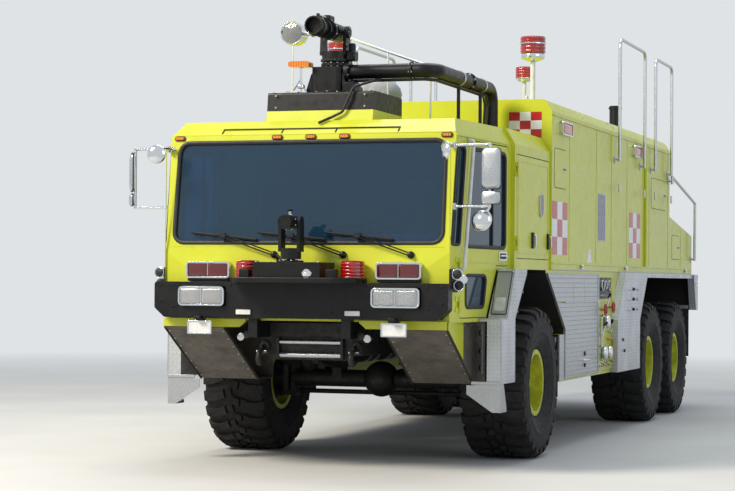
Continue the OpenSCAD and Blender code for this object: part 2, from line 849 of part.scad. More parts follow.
module locker_body() {
    color(PAINT) place() {
        difference() {
            along(cab_end + seat, tank_front - seat) polygon([
                [-locker_half, body_z], [locker_half, body_z], [locker_half, roof_edge_z],
                [locker_half - roof_edge_in, roof_z], [-locker_half + roof_edge_in, roof_z],
                [-locker_half, roof_edge_z]
            ]);
            both() {
                block([locker_half - locker_depth, locker_y0, locker_z0],
                    [locker_half - 40, locker_y1, locker_z1]);
                across(locker_half - 50, locker_half + 20) polygon(locker_outline(door_gap));
            }
        }
        both() translate([locker_half, locker_y0 - 14, 0])
            for (z = [locker_z0 + 130, locker_z1 - 130]) hinge_post(0, z, 40);
    }
}

function locker_outline(g) = rounded(rect([locker_y0 - g, locker_z0 - g], [locker_y1 + g, locker_z1 + g]), 20 + g, 3);

module tank_body() {
    color(PAINT) place() difference() {
        intersection() {
            along(tank_front, tail_y) polygon(rounded([
                [-body_half, body_z], [body_half, body_z], [body_half, side_top],
                [body_half - 70, tank_top], [70 - body_half, tank_top], [-body_half, side_top]
            ], [0, 0, 40, 60, 60, 40], 4));
            across(-body_half, body_half) polygon(rounded([
                [tank_front, body_z], [tail_y, body_z], [tail_y, tail_z], [hood_y, hood_z],
                [hood_y, tank_top], [tank_front, tank_top]
            ], [0, 0, 40, 0, 40, 0], 4));
        }
        block([-grille_half, tail_y - grille_depth, grille_z0], [grille_half, tail_y + 1, grille_z1]);
    }
}

module low_boxes() {
    color(PAINT) place() both() {
        across(box_in, body_half) polygon([
            [box_nose, body_z - seat], [arch_front, body_z - seat], [arch_front, box_z], [box_y0, box_z],
            [box_y0, body_z - 610], [box_y0 + box_step, body_z - 610], [box_y0 + box_step, body_z - 550],
            [box_nose, body_z - 30]
        ]);
        block([box_in, tail_box_y, tail_box_z], [body_half, tail_box_end, body_z - seat]);
    }
}

// (x, z) profile of a roller shutter's slats from z0 up to z1, each slat standing proud of its joints
function shutter_profile(z0, z1) =
    let (n = round((z1 - z0) / slat), step = (z1 - z0) / n, joint = body_half + 12, face = body_half + 16)
    [[body_half + seat, z0], for (i = [0:n - 1]) each [
        [joint, z0 + i * step], [face, z0 + i * step + 5], [face, z0 + (i + 1) * step - 5],
        [joint, z0 + (i + 1) * step]
    ], [body_half + seat, z1]];

// the opening of the upper and the lower shutter, each behind the sloping edge of the wheel arch
module side_shutters() {
    edge = box_y0 + box_step + 12;
    slant = (box_y0 + box_step - box_nose) / 520;
    split = body_z - 300;
    // each shutter: underside, top, height where its front edge starts to slope
    shutters = [[split, body_z - 30, split], [box_z + 40, split - 10, body_z - 550]];
    color(PLATE) place() both() {
        for (d = shutters) intersection() {
            along(box_nose, shutter_split) polygon(shutter_profile(d[0], d[1]));
            across(body_half, body_half + 20) polygon([
                [edge - (d[2] - body_z + 550) * slant, d[0] - 1], [shutter_split, d[0] - 1],
                [shutter_split, d[1] + 1], [edge - (d[1] + 1 - body_z + 550) * slant, d[1] + 1],
                [edge - (d[2] - body_z + 550) * slant, d[2]]
            ]);
        }
        block([body_half + seat, box_y0, box_z + 10], [body_half + 14, box_y0 + box_step - 5, body_z - 612]);
    }
}

module pump_panels() {
    outlets = [[shutter_split + 180, 860], [shutter_split + 420, 860], [shutter_split + 300, 1180]];
    color(PAINT) place() both() {
        block([body_half + seat, shutter_split + 10, box_z + 40], [body_half + 14, panel_end, body_z - 30]);
        for (o = outlets) translate([body_half + 13, o[0], o[1]]) rotate([0, 90, 0]) cylinder(d = 110, h = 60);
    }
}

module mud_flaps() {
    color(RUBBER) place() both() {
        block([body_half - 440, box_y0 - 22, box_z - 140], [body_half, box_y0 - seat, box_z + 440]);
        block([body_half - 440, tail_box_y - 20, box_z + 10],
            [body_half - 10, tail_box_y - seat, tail_box_z + 74]);
    }
}

// Roof

module roof_plinth() {
    color(PAINT) place() across(-plinth_half, plinth_half) polygon([
        [-1758, roof_z + seat], [-950, roof_z + seat], [-950, plinth_z], [-1740, plinth_z]
    ]);
}

module turret_base() {
    color(BLACK) place() {
        across(-plinth_half, plinth_half) polygon(rounded([
            [-1740, plinth_z + seat], [-950, plinth_z + seat], [-950, base_z], [-1720, base_z]
        ], [0, 0, 20, 20], 3));
        translate([0, turret_y, base_z - 1]) {
            cylinder(d = 300, h = 31);
            cylinder(d = 190, h = pedestal_z - base_z + 1);
            linear_extrude(pedestal_z - base_z - 40)
                polygon(rounded(rect([-175, -130], [95, 130]), 40, 4));
            cylinder(d = turret_pin_d, h = pedestal_z - base_z + 61);
        }
    }
}

// body of a turret: drum, two cheeks and the pin holes of the barrel
module turret_head(d, z0, aim, cheek) {
    difference() {
        union() {
            translate([0, 0, z0]) cylinder(d = d, h = 90);
            both() {
                across(cheek, cheek + cheek_t) polygon([
                    [-d * 0.3, z0 + 60], [d * 0.3, z0 + 60], [50, aim + 20], [20, aim + 50], [-20, aim + 50],
                    [-50, aim + 20]
                ]);
            }
            block([-cheek - cheek_t, -d * 0.3, z0 + 60], [cheek + cheek_t, d * 0.3, z0 + 90]);
        }
        translate([0, 0, z0 - 1]) cylinder(d = turret_pin_d + 2 * bearing_gap, h = 70);
        translate([-200, 0, aim]) rotate([0, 90, 0]) cylinder(r = trunnion_r + pin_gap, h = 400);
    }
}

module roof_turret() {
    color(BLACK) place() translate([0, turret_y, 0]) turret_head(230, pedestal_z + 5, roof_aim_z, roof_cheek);
}

// barrel of a turret, its nozzle to the front
module turret_barrel(d, aim, reach, cheek) {
    translate([0, 0, aim]) {
        rotate([90, 0, 0]) {
            translate([0, 0, -140]) cylinder(d = d * 0.8, h = reach + 60);
            translate([0, 0, -90]) cylinder(d = d, h = 200);
            difference() {
                translate([0, 0, reach - 120]) cylinder(d = d, h = 120);
                translate([0, 0, reach - 60]) cylinder(d = d - 24, h = 61);
            }
        }
        rotate([0, 90, 0]) translate([0, 0, -cheek - cheek_t]) cylinder(r = trunnion_r, h = 2 * (cheek + cheek_t));
    }
}

module roof_nozzle() {
    color(BLACK) place() translate([0, turret_y, 0]) turret_barrel(barrel_d, roof_aim_z, 560, roof_cheek);
}

// lamp beside the roof turret, on the end of the barrel's trunnion
module spotlight() {
    arm = roof_cheek + cheek_t + seat;
    color(CHROME) place() translate([0, turret_y, roof_aim_z]) {
        translate([-330, 0, 0]) rotate([0, 90, 0]) cylinder(r = trunnion_r, h = 330 - arm);
        translate([-375, 60, 0]) rotate([90, 0, 0]) cylinder(d = 200, h = 130);
    }
}

module bumper_turret() {
    color(BLACK) place() translate([0, low_y, 0]) turret_head(170, deck_z + 25, low_aim_z, low_cheek);
}

module bumper_nozzle() {
    color(BLACK) place() translate([0, low_y, 0])
        turret_barrel(112, low_aim_z, front_overhang - low_turret, low_cheek);
}

// a pipe elbow of a quarter turn about the origin, from the +X axis to the +Y axis
module elbow(bend, d) {
    rotate_extrude(angle = 90) translate([bend, 0]) circle(d = d);
}

module supply_pipe() {
    d = 125;
    bend = 130;
    z = 3390;
    // the pipe stands on the locker roof, just ahead of the tank body
    foot = [900, tank_front - 190];
    color(BLACK) place() {
        translate([95 + seat, turret_y, z]) rotate([0, 90, 0]) cylinder(d = d, h = foot[0] - bend - 95 - seat);
        translate([foot[0] - bend, turret_y + bend, z]) rotate([0, 0, -90]) elbow(bend, d);
        translate([foot[0], turret_y + bend, z]) rotate([-90, 0, 0])
            cylinder(d = d, h = foot[1] - turret_y - 2 * bend);
        translate([foot[0], foot[1] - bend, z - bend]) rotate([90, 0, 90]) elbow(bend, d);
        translate([foot[0], foot[1], roof_z + seat]) cylinder(d = d, h = z - bend - roof_z - seat);
        translate([foot[0], foot[1], roof_z + seat]) cylinder(d = 210, h = 24);
    }
}

module handrails() {
    x = body_half + 55;
    top = tank_top + 890;
    foot = side_top - 310;
    bend = 90;
    rear_leg = hood_y - 190;
    rear_post = tail_y - 90;
    $fn = 24;
    // each loop: front leg, rear leg along Y
    loops = [[mid_y - 1820, mid_y - 420], [hood_y - 1240, rear_leg]];
    feet = [[loops[0][0], foot + 20], [loops[0][1], foot + 20], [loops[1][0], foot + 20],
        [rear_leg + 60, foot - 60], [rear_post, body_z + 200]];
    color(CHROME) place() both() {
        for (l = loops) tube(x, [[l[0], foot], [l[0], top], [l[1], top], [l[1], foot]], rail_d, bend);
        jointed_tube(x, [[rear_leg + 60, foot - 100], [rear_leg + 60, foot - 10], [rear_post, foot - 270],
            [rear_post, body_z + 180]], rail_d);
        bar([body_half + seat, rear_leg, foot + 20], [x, rear_leg, foot + 20], rail_d - 8);
        for (f = feet) bar([body_half + seat, f[0], f[1]], [x, f[0], f[1]], rail_d - 8);
    }
}

module roof_beacons() {
    color(RED) place() {
        both() translate([1012, 1634, tank_top + seat]) {
            cylinder(d = 60, h = 480);
            translate([0, 0, 470]) cylinder(d = 170, h = 230);
        }
        translate([200, 4500, tank_top + seat]) {
            cylinder(d = 50, h = 560);
            translate([0, 0, 559]) cylinder(d = 160, h = 150);
        }
    }
}

// round filler hatches on the tank's roof, each with its clamps
module tank_hatches() {
    color(PAINT) place() for (y = [2300, 5300]) translate([0, y, tank_top + seat]) {
        cylinder(d = 640, h = 16);
        cylinder(d = 540, h = 60);
        for (a = [0:60:300]) rotate([0, 0, a]) block([255, -22, 15], [300, 22, 72]);
        block([-60, -350, 0], [60, -240, 50]);
    }
}

// black outlet with a rain cap at the left edge of the tank's roof
module vent_stack() {
    color(BLACK) place() translate([1205, 4700, tank_top + seat]) {
        cylinder(d = 190, h = 12);
        cylinder(d = 130, h = 270);
        translate([0, 0, 235]) cylinder(d = 150, h = 20);
    }
}

module mirrors() {
    arm_y = 110;
    color(CHROME) place() for (s = sides) on_cab_side(s) {
        for (z = [2200, 2700]) {
            block([seat, arm_y - 30, z - 30], [14, arm_y + 30, z + 30]);
            bar([10, arm_y, z], [310, arm_y, z], 26);
        }
        bar([310, arm_y, 2188], [310, arm_y, 2712], 26);
        across(200, 420) translate([arm_y - 70, 2260]) square([58, 360]);
    }
}

// closing panel under the hood, the radiator grille above it and two tow eyes on the frame's end
module rear_fittings() {
    slats = 7;
    pitch = (grille_z1 - grille_z0 - 60) / slats;
    y0 = tail_y - grille_depth + seat;
    color(BLACK) place() {
        block([-box_in + 1, tail_y - 140, tail_box_z], [box_in - 1, tail_box_end, body_z - seat]);
        difference() {
            block([-grille_half + 1, y0, grille_z0 + 1], [grille_half - 1, tail_y, grille_z1 - 1]);
            block([-grille_half + 30, y0 + plate_t, grille_z0 + 30], [grille_half - 30, tail_y + 1, grille_z1 - 30]);
        }
        for (i = [0:slats - 1]) across(-grille_half + 29, grille_half - 29) polygon([
            [y0 + 5, grille_z0 + 34 + (i + 0.5) * pitch], [tail_y - 4, grille_z0 + 34 + i * pitch],
            [tail_y - 4, grille_z0 + 40 + i * pitch], [y0 + 5, grille_z0 + 40 + (i + 0.5) * pitch]
        ]);
        both() translate([rail_in + rail_w / 2, rail_y1 + seat, rail_z + 70]) rotate([-90, 0, 0]) difference() {
            cylinder(d = 90, h = 30);
            translate([0, 0, -1]) cylinder(d = 40, h = 32);
        }
    }
}

// round lamps on the rear of the side boxes, from the middle outwards
module tail_lamps() {
    color(RED) place() both()
        for (x = [box_in + 110, box_in + 300, box_in + 490])
            translate([x, tail_box_end + seat, body_z - 200]) rotate([-90, 0, 0]) cylinder(d = 120, h = 18);
}

// Doors

module door(s) {
    color(PAINT) place() on_cab_side(s) {
        difference() {
            across(-door_t, 0) polygon(door_outline(0));
            across(-100, 50) polygon(door_window());
            across(-100, 50) polygon(foot_window());
        }
        for (h = door_hinges) hinge_leaf(hinge_y, h[0], h[1]);
    }
}

module door_left() {
    door(1);
}

module door_right() {
    door(-1);
}

module door_glass(s) {
    color(GLASS) place() on_cab_side(s) {
        across(-12 - glass, -12) offset_outline(door_window());
        across(-12 - glass, -12) offset_outline(foot_window());
    }
}

module door_glass_left() {
    door_glass(1);
}

module door_glass_right() {
    door_glass(-1);
}

module locker_door(s) {
    color(PAINT) place() mirrored(s) translate([locker_half, 0, 0]) {
        across(-door_t + 6, 0) polygon(locker_outline(0));
        for (z = [locker_z0 + 130, locker_z1 - 130]) hinge_leaf(locker_y0 - 14, z, 70);
        for (y = [locker_y0 + 540, locker_y1 - 70]) block([0, y, 1900], [14, y + 60, 2030]);
    }
}

module locker_left() {
    locker_door(1);
}

module locker_right() {
    locker_door(-1);
}

frame_rails();
front_axle();
mid_axle();
rear_axle();
springs();
drivetrain();
engine_block();
cab_shell();
windshield();
side_glass();
dashboard();
seats();
front_bumper();
front_lamps();
tow_gear();
approach_plates();
fender_boxes();
entry_steps();
locker_body();
tank_body();
low_boxes();
roof_plinth();
turret_base();
side_shutters();
pump_panels();
mud_flaps();
handrails();
roof_beacons();
supply_pipe();
mirrors();
rear_fittings();
tail_lamps();
tank_hatches();
vent_stack();
knuckle_left();
knuckle_right();
tie_rod();
rim_front_left();
rim_front_right();
rim_mid_left();
rim_mid_right();
rim_rear_left();
rim_rear_right();
tyre_front_left();
tyre_front_right();
tyre_mid_left();
tyre_mid_right();
tyre_rear_left();
tyre_rear_right();
door_left();
door_right();
door_glass_left();
door_glass_right();
locker_left();
locker_right();
roof_turret();
roof_nozzle();
spotlight();
bumper_turret();
bumper_nozzle();
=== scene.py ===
"""Looks of a six-wheel airport fire truck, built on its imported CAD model.

Everything is in metres in the row's frame: the front faces -Y, the truck's left side is +X and
the ground is Z = 0. Places along Y are given from the front axle and go through at().
"""
import math

import bpy
from bpy.props import FloatProperty, IntProperty, PointerProperty, StringProperty
from mathutils import Matrix, Vector


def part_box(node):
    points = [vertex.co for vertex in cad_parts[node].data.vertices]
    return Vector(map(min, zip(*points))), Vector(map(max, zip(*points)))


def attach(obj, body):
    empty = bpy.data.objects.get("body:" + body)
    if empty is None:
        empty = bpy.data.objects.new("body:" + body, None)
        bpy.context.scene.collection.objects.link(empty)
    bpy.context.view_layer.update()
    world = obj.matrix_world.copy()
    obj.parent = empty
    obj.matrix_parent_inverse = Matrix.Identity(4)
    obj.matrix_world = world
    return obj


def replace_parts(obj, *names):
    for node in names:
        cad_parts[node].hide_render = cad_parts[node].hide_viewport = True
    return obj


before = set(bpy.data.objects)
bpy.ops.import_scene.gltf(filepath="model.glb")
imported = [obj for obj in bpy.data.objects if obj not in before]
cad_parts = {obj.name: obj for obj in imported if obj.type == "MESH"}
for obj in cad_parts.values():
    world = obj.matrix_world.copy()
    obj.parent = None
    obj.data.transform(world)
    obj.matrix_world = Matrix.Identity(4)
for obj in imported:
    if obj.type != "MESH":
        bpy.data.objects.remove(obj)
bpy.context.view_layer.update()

bl_info = {
    "name": "Airport fire truck",
    "version": (1, 0, 0),
    "blender": (4, 5, 0),
    "location": "View3D > Sidebar > Fire truck",
    "description": "Finishes and fittings of a six-wheel airport fire truck",
    "category": "Object",
}

SIDES = (1, -1)
WHEELS = ("front_left", "front_right", "mid_left", "mid_right", "rear_left", "rear_right")
X_AXIS, Y_AXIS, Z_AXIS = (1, 0, 0), (0, 1, 0), (0, 0, 1)
BACKDROP = "dfe3e6"


def box_middle(node):
    low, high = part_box(node)
    return (low + high) / 2


def side_name(side):
    return "left" if side > 0 else "right"


FRONT_AXLE = box_middle("tyre_front_left").y
MID_AXLE = box_middle("tyre_mid_left").y
REAR_AXLE = box_middle("tyre_rear_left").y
WHEEL_Z = box_middle("tyre_front_left").z
TYRE_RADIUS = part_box("tyre_front_left")[1].z - WHEEL_Z
TYRE_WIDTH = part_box("tyre_front_left")[1].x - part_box("tyre_front_left")[0].x
BODY_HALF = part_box("tank_body")[1].x
TANK_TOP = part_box("tank_body")[1].z
CAB_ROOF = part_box("cab_shell")[1].z

# The cab: its front corners, its rear corners and the lean of its face, as in the CAD model
CAB_FRONT_Y = -2.110
CAB_REAR_Y = -0.640
CAB_HALF = 1.255
CAB_HALF_REAR = 1.392
FACE_FOOT = 1.580
FACE_TOP = 2.820
FACE_LEAN = 0.165
STEP_BOX_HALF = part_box("fender_boxes")[1].x
CAB_TAPER = math.atan2(CAB_HALF_REAR - CAB_HALF, CAB_REAR_Y - CAB_FRONT_Y)
FACE_ANGLE = math.atan2(FACE_LEAN, FACE_TOP - FACE_FOOT)

# Faces that carry fittings, given from the front axle, from the middle or from the ground
BUMPER_FACE = -2.236
BUMPER_PLATE_FACE = -2.290
UNDER_BUMPER_FACE = -2.118
HEAD_LAMP_FACE = -2.262
SIGNAL_LAMP_FACE = -2.150
DECK_TOP = 1.605
LOCKER_HALF = 1.425
HATCH_FACE = 6.840
TAIL_FACE = 8.430
GRILLE_FACE = 8.450
SUPPLY_PIPE_Z = 3.390
LIGHT_BOX_TOP = 3.190
ROOF_FEET_Z = 2.941
ROOF_TURRET_Y = -1.36
BUMPER_TURRET_Y = -2.40

# Turns a frame so that X runs back along the truck, Y up and Z out to the left
SIDE_ON = Matrix(((0, 0, 1, 0), (1, 0, 0, 0), (0, 1, 0, 0), (0, 0, 0, 1)))


def at(x, y, z):
    """A point given along Y from the front axle."""
    return Vector((x, y + FRONT_AXLE, z))


def colour(code):
    """A linear colour from an sRGB hex value."""
    out = []
    for i in (0, 2, 4):
        c = int(code[i:i + 2], 16) / 255
        out.append(c / 12.92 if c <= 0.04045 else ((c + 0.055) / 1.055) ** 2.4)
    return tuple(out) + (1.0,)


# Places on the truck as frames for the pieces that sit there

def mirror(side):
    return Matrix.Scale(side, 4, X_AXIS)


def on_cab_side(side):
    """X out of the cab's side, Y back along it from the front corner, Z up from the ground."""
    turn = Matrix.Rotation(-CAB_TAPER, 4, "Z")
    return mirror(side) @ Matrix.Translation(at(CAB_HALF, CAB_FRONT_Y, 0)) @ turn


def on_cab_face():
    """X across the cab, Y up the leaning face from its foot, Z out of it."""
    return Matrix.Translation(at(0, CAB_FRONT_Y, FACE_FOOT)) @ Matrix.Rotation(math.pi / 2 - FACE_ANGLE, 4,
        "X")


def facing_front(y):
    """X across, Y up, Z out of a face that looks to the front at y."""
    return Matrix.Translation(at(0, y, 0)) @ Matrix.Rotation(math.pi / 2, 4, "X")


def facing_rear(y):
    """X across, Y up, Z out of a face that looks to the rear at y."""
    return Matrix.Translation(at(0, y, 0)) @ Matrix.Rotation(math.pi, 4, "Z") @ Matrix.Rotation(math.pi / 2,
        4, "X")


def facing_side(side, x):
    """X back along the truck from the front axle, Y up, Z out of a side face at x."""
    return mirror(side) @ Matrix.Translation(at(x, 0, 0)) @ SIDE_ON


def cab_side_face(side):
    """X back along the cab's side from its front corner, Y up, Z out of it."""
    return on_cab_side(side) @ SIDE_ON


def up_the_face(z):
    """Distance up the leaning cab face to a height."""
    return (z - FACE_FOOT) / math.cos(FACE_ANGLE)


# Outlines

def rounded(points, radius, steps=4):
    """A closed outline of 2D points with its corners rounded."""
    out = []
    count = len(points)
    for i in range(count):
        before, here, after = (Vector(points[(i + k) % count]) for k in (-1, 0, 1))
        r = radius[i] if isinstance(radius, (list, tuple)) else radius
        u, w = (before - here).normalized(), (after - here).normalized()
        half = u.angle(w) / 2
        if r <= 0 or half > 1.55:
            out.append(tuple(here))
            continue
        middle = here + (u + w).normalized() * r / math.sin(half)
        start = here + u * r / math.tan(half) - middle
        turn = (math.pi - 2 * half) * (-1 if u.cross(w) > 0 else 1)
        for k in range(steps + 1):
            a = turn * k / steps
            c, s = math.cos(a), math.sin(a)
            out.append((middle.x + start.x * c - start.y * s, middle.y + start.x * s + start.y * c))
    return out


def rectangle(low, high, radius=0.0, steps=3):
    corners = [(low[0], low[1]), (high[0], low[1]), (high[0], high[1]), (low[0], high[1])]
    return rounded(corners, radius, steps) if radius else corners


def turns_left(points):
    """Whether a closed outline of 2D points runs counter-clockwise."""
    return sum(p[0] * q[1] - q[0] * p[1] for p, q in zip(points, points[1:] + points[:1])) > 0


def lifted(point, axis, height):
    """A point of an outline that is drawn across an axis, at a height along that axis."""
    first, second = point
    return {"X": (height, first, second), "Y": (first, height, second), "Z": (first, second, height)}[axis]


def grown(points, by):
    """A closed outline moved outwards by a distance."""
    sign = 1 if turns_left(points) else -1
    out = []
    count = len(points)
    for i in range(count):
        a, b, c = (Vector(points[(i + k) % count]) for k in (-1, 0, 1))
        u = (b - a).normalized() if (b - a).length > 1e-7 else (c - b).normalized()
        w = (c - b).normalized() if (c - b).length > 1e-7 else u
        n = Vector((u.y + w.y, -u.x - w.x)).normalized() * sign
        spread = max(0.5, n.dot(Vector((u.y, -u.x)) * sign))
        out.append(tuple(b + n * by / spread))
    return out


class Piece:
    """Collects the faces of one piece of the truck. Shapes are added in the frame that is set.

    The slot of a shape is the place of its finish among the names the piece is made with.
    """

    def __init__(self, name, *finishes):
        self.name = name
        self.materials = [finish_of(finish) for finish in finishes]
        self.points = []
        self.faces = []
        self.slots = []
        self.frame = Matrix.Identity(4)

    def add(self, points, faces, slot=0):
        base = len(self.points)
        self.points += [self.frame @ Vector(p) for p in points]
        turned = self.frame.determinant() < 0
        for f in faces:
            f = [base + i for i in f]
            self.faces.append(f[::-1] if turned else f)
            self.slots.append(slot)

    def block(self, low, high, slot=0, chamfer=0.0):
        low, high = Vector(low), Vector(high)
        c = min(chamfer, *((high - low) * 0.45))
        if c <= 0:
            xs, ys, zs = zip(low, high)
            points = [(x, y, z) for x in xs for y in ys for z in zs]
            faces = [(0, 1, 3, 2), (4, 6, 7, 5), (0, 4, 5, 1), (2, 3, 7, 6), (0, 2, 6, 4), (1, 5, 7, 3)]
            return self.add(points, faces, slot)
        points, index = [], {}
        for cx in (0, 1):
            for cy in (0, 1):
                for cz in (0, 1):
                    corner = Vector((high.x if cx else low.x, high.y if cy else low.y,
                        high.z if cz else low.z))
                    inward = Vector((-c if cx else c, -c if cy else c, -c if cz else c))
                    for axis in range(3):
                        p = corner.copy()
                        for k in range(3):
                            if k != axis:
                                p[k] += inward[k]
                        index[(cx, cy, cz, axis)] = len(points)
                        points.append(p)
        faces = []
        for axis in range(3):
            a, b = [k for k in range(3) if k != axis]
            for end in (0, 1):
                loop = []
                for va, vb in ((0, 0), (1, 0), (1, 1), (0, 1)):
                    key = [0, 0, 0]
                    key[axis], key[a], key[b] = end, va, vb
                    loop.append(index[(*key, axis)])
                faces.append(loop)
        for axis in range(3):
            a, b = [k for k in range(3) if k != axis]
            for va in (0, 1):
                for vb in (0, 1):
                    ends = []
                    for end in (0, 1):
                        key = [0, 0, 0]
                        key[axis], key[a], key[b] = end, va, vb
                        ends.append((index[(*key, a)], index[(*key, b)]))
                    faces.append([ends[0][0], ends[0][1], ends[1][1], ends[1][0]])
        for cx in (0, 1):
            for cy in (0, 1):
                for cz in (0, 1):
                    faces.append([index[(cx, cy, cz, k)] for k in range(3)])
        self.add(points, self.outward(points, faces), slot)

    @staticmethod
    def outward(points, faces):
        """Faces of a convex shape, each turned to face away from its middle."""
        middle = sum((Vector(p) for p in points), Vector()) / len(points)
        out = []
        for f in faces:
            a, b, c = (Vector(points[i]) for i in f[:3])
            away = (b - a).cross(c - a).dot(a - middle)
            out.append(list(f) if away > 0 else list(f)[::-1])
        return out

    def prism(self, outline, axis, low, high, slot=0):
        """An outline drawn across the axis: (y, z) for X, (x, z) for Y, (x, y) for Z."""
        count = len(outline)
        if turns_left(outline) == (axis == "Y"):
            outline = outline[::-1]
        points = [lifted(p, axis, h) for h in (low, high) for p in outline]
        faces = [list(range(count))[::-1], list(range(count, 2 * count))]
        faces += [[i, (i + 1) % count, count + (i + 1) % count, count + i] for i in range(count)]
        self.add(points, faces, slot)

    def ring(self, outline, inner, axis, low, high, slot=0):
        """A flat frame between two outlines of equal point count."""
        count = len(outline)
        if turns_left(outline) == (axis == "Y"):
            outline, inner = outline[::-1], inner[::-1]
        points = [lifted(p, axis, h) for h in (low, high) for loop in (outline, inner) for p in loop]
        faces = []
        for i in range(count):
            j = (i + 1) % count
            o0, o1, n0, n1 = i, j, count + i, count + j
            p0, p1, q0, q1 = 2 * count + i, 2 * count + j, 3 * count + i, 3 * count + j
            faces += [[o0, o1, p1, p0], [n1, n0, q0, q1], [p0, p1, q1, q0], [o1, o0, n0, n1]]
        self.add(points, faces, slot)

    def turned(self, profile, at_point, axis, slot=0, steps=32, closed=False):
        """A (radius, height) profile turned about an axis through a point."""
        axis = Vector(axis).normalized()
        side = axis.orthogonal().normalized()
        across = axis.cross(side)
        points, faces = [], []
        rows = len(profile)
        for k in range(steps):
            a = math.tau * k / steps
            out = side * math.cos(a) + across * math.sin(a)
            points += [Vector(at_point) + out * r + axis * h for r, h in profile]
        last = rows if closed else rows - 1
        for k in range(steps):
            a, b = k * rows, ((k + 1) % steps) * rows
            for i in range(last):
                j = (i + 1) % rows
                faces.append([a + i, b + i, b + j, a + j])
        if not closed:
            for row, back in ((0, True), (rows - 1, False)):
                if profile[row][0] > 1e-6:
                    loop = [k * rows + row for k in range(steps)]
                    faces.append(loop[::-1] if back else loop)
        self.add(points, faces, slot)

    def loft(self, loops, slot=0, caps=(True, True)):
        """Skins loops of equal point count, each counter-clockwise seen against the way they follow."""
        count = len(loops[0])
        points = [p for loop in loops for p in loop]
        faces = []
        for k in range(len(loops) - 1):
            for i in range(count):
                j = (i + 1) % count
                faces.append([k * count + i, k * count + j, (k + 1) * count + j, (k + 1) * count + i])
        if caps[0]:
            faces.append(list(range(count))[::-1])
        if caps[1]:
            faces.append([(len(loops) - 1) * count + i for i in range(count)])
        self.add(points, faces, slot)

    def rod(self, start, end, radius, slot=0, steps=12, end_radius=None):
        start, end = Vector(start), Vector(end)
        length = (end - start).length
        r2 = radius if end_radius is None else end_radius
        self.turned([(radius, 0), (r2, length)], start, end - start, slot, steps)

    def pipe(self, path, radius, slot=0, steps=10, bend=0.0):
        """A round bar along a path whose corners are bent to a radius."""
        path = [Vector(p) for p in path]
        line = [path[0]]
        for a, b, c in zip(path, path[1:], path[2:]):
            if bend <= 0:
                line.append(b)
                continue
            u, w = (a - b).normalized(), (c - b).normalized()
            half = u.angle(w) / 2
            cut = min(bend / math.tan(half), (a - b).length * 0.49, (c - b).length * 0.49)
            p, q = b + u * cut, b + w * cut
            for k in range(6):
                t = k / 5
                line.append(p * (1 - t) ** 2 + b * 2 * t * (1 - t) + q * t * t)
        line.append(path[-1])
        points, faces = [], []
        side = (line[1] - line[0]).orthogonal().normalized()
        for i, p in enumerate(line):
            before = line[max(i - 1, 0)]
            after = line[min(i + 1, len(line) - 1)]
            ahead = (after - before).normalized()
            side = (side - ahead * side.dot(ahead)).normalized()
            across = ahead.cross(side)
            for k in range(steps):
                a = math.tau * k / steps
                points.append(p + (side * math.cos(a) + across * math.sin(a)) * radius)
        for i in range(len(line) - 1):
            for k in range(steps):
                j = (k + 1) % steps
                faces.append([i * steps + k, i * steps + j, (i + 1) * steps + j, (i + 1) * steps + k])
        faces.append(list(range(steps))[::-1])
        faces.append([(len(line) - 1) * steps + k for k in range(steps)])
        self.add(points, faces, slot)

    def bolt(self, place, axis, size=0.012, slot=0, height=None):
        """A hexagonal head on a washer."""
        place, axis = Vector(place), Vector(axis).normalized()
        tall = size * 0.55 if height is None else height
        self.turned([(size * 0.85, 0), (size * 0.85, size * 0.12)], place, axis, slot, 12)
        self.turned([(size * 0.6, 0), (size * 0.6, tall * 0.85), (size * 0.5, tall)], place, axis, slot, 6)

    def finish(self, body="chassis", sharp=35, bevel=0.0, record_slot=None):
        mesh = bpy.data.meshes.new(self.name)
        mesh.from_pydata(self.points, [], self.faces)
        for m in self.materials:
            mesh.materials.append(m)
        mesh.polygons.foreach_set("material_index", self.slots)
        mesh.validate()
        mesh.polygons.foreach_set("use_smooth", [True] * len(mesh.polygons))
        mesh.set_sharp_from_angle(angle=math.radians(sharp))
        thing = bpy.data.objects.new(self.name, mesh)
        bpy.context.scene.collection.objects.link(thing)
        if bevel > 0:
            modifier = thing.modifiers.new("edges", "BEVEL")
            modifier.width = bevel
            modifier.segments = 2
            modifier.limit_method = "ANGLE"
            modifier.angle_limit = math.radians(40)
        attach(thing, body)
        return thing


# Materials. Each is made once, by its own function, and kept under its name.

def add_node(tree, kind, settings=None, **links):
    """Adds one node. Settings are its properties or unlinked sockets; links feed its sockets."""
    node = tree.nodes.new(kind)
    for key, value in (settings or {}).items():
        if isinstance(key, int) or key in node.inputs:
            node.inputs[key].default_value = value
        else:
            setattr(node, key, value)
    for key, source in links.items():
        target = node.inputs[int(key[1:])] if key[0] == "_" else node.inputs[key.replace("_", " ")]
        tree.links.new(source, target)
    return node


def new_material(name, **principled):
    """A Principled material with constant values on the shader's own sockets."""
    material = bpy.data.materials.new(name)
    material.use_nodes = True
    tree = material.node_tree
    shader = tree.nodes["Principled BSDF"]
    for key, value in principled.items():
        shader.inputs[key.replace("_", " ")].default_value = value
    return material, tree, shader


def link(tree, source, target):
    tree.links.new(source, target)


def coordinates(tree):
    return add_node(tree, "ShaderNodeTexCoord").outputs["Object"]


def noise(tree, size_mm, detail=3.0, rough=0.5, vector=None):
    """Noise whose lumps are about size_mm across."""
    return add_node(tree, "ShaderNodeTexNoise", {"Scale": 1000 / size_mm, "Detail": detail,
        "Roughness": rough},
        Vector=vector or coordinates(tree)).outputs["Fac"]


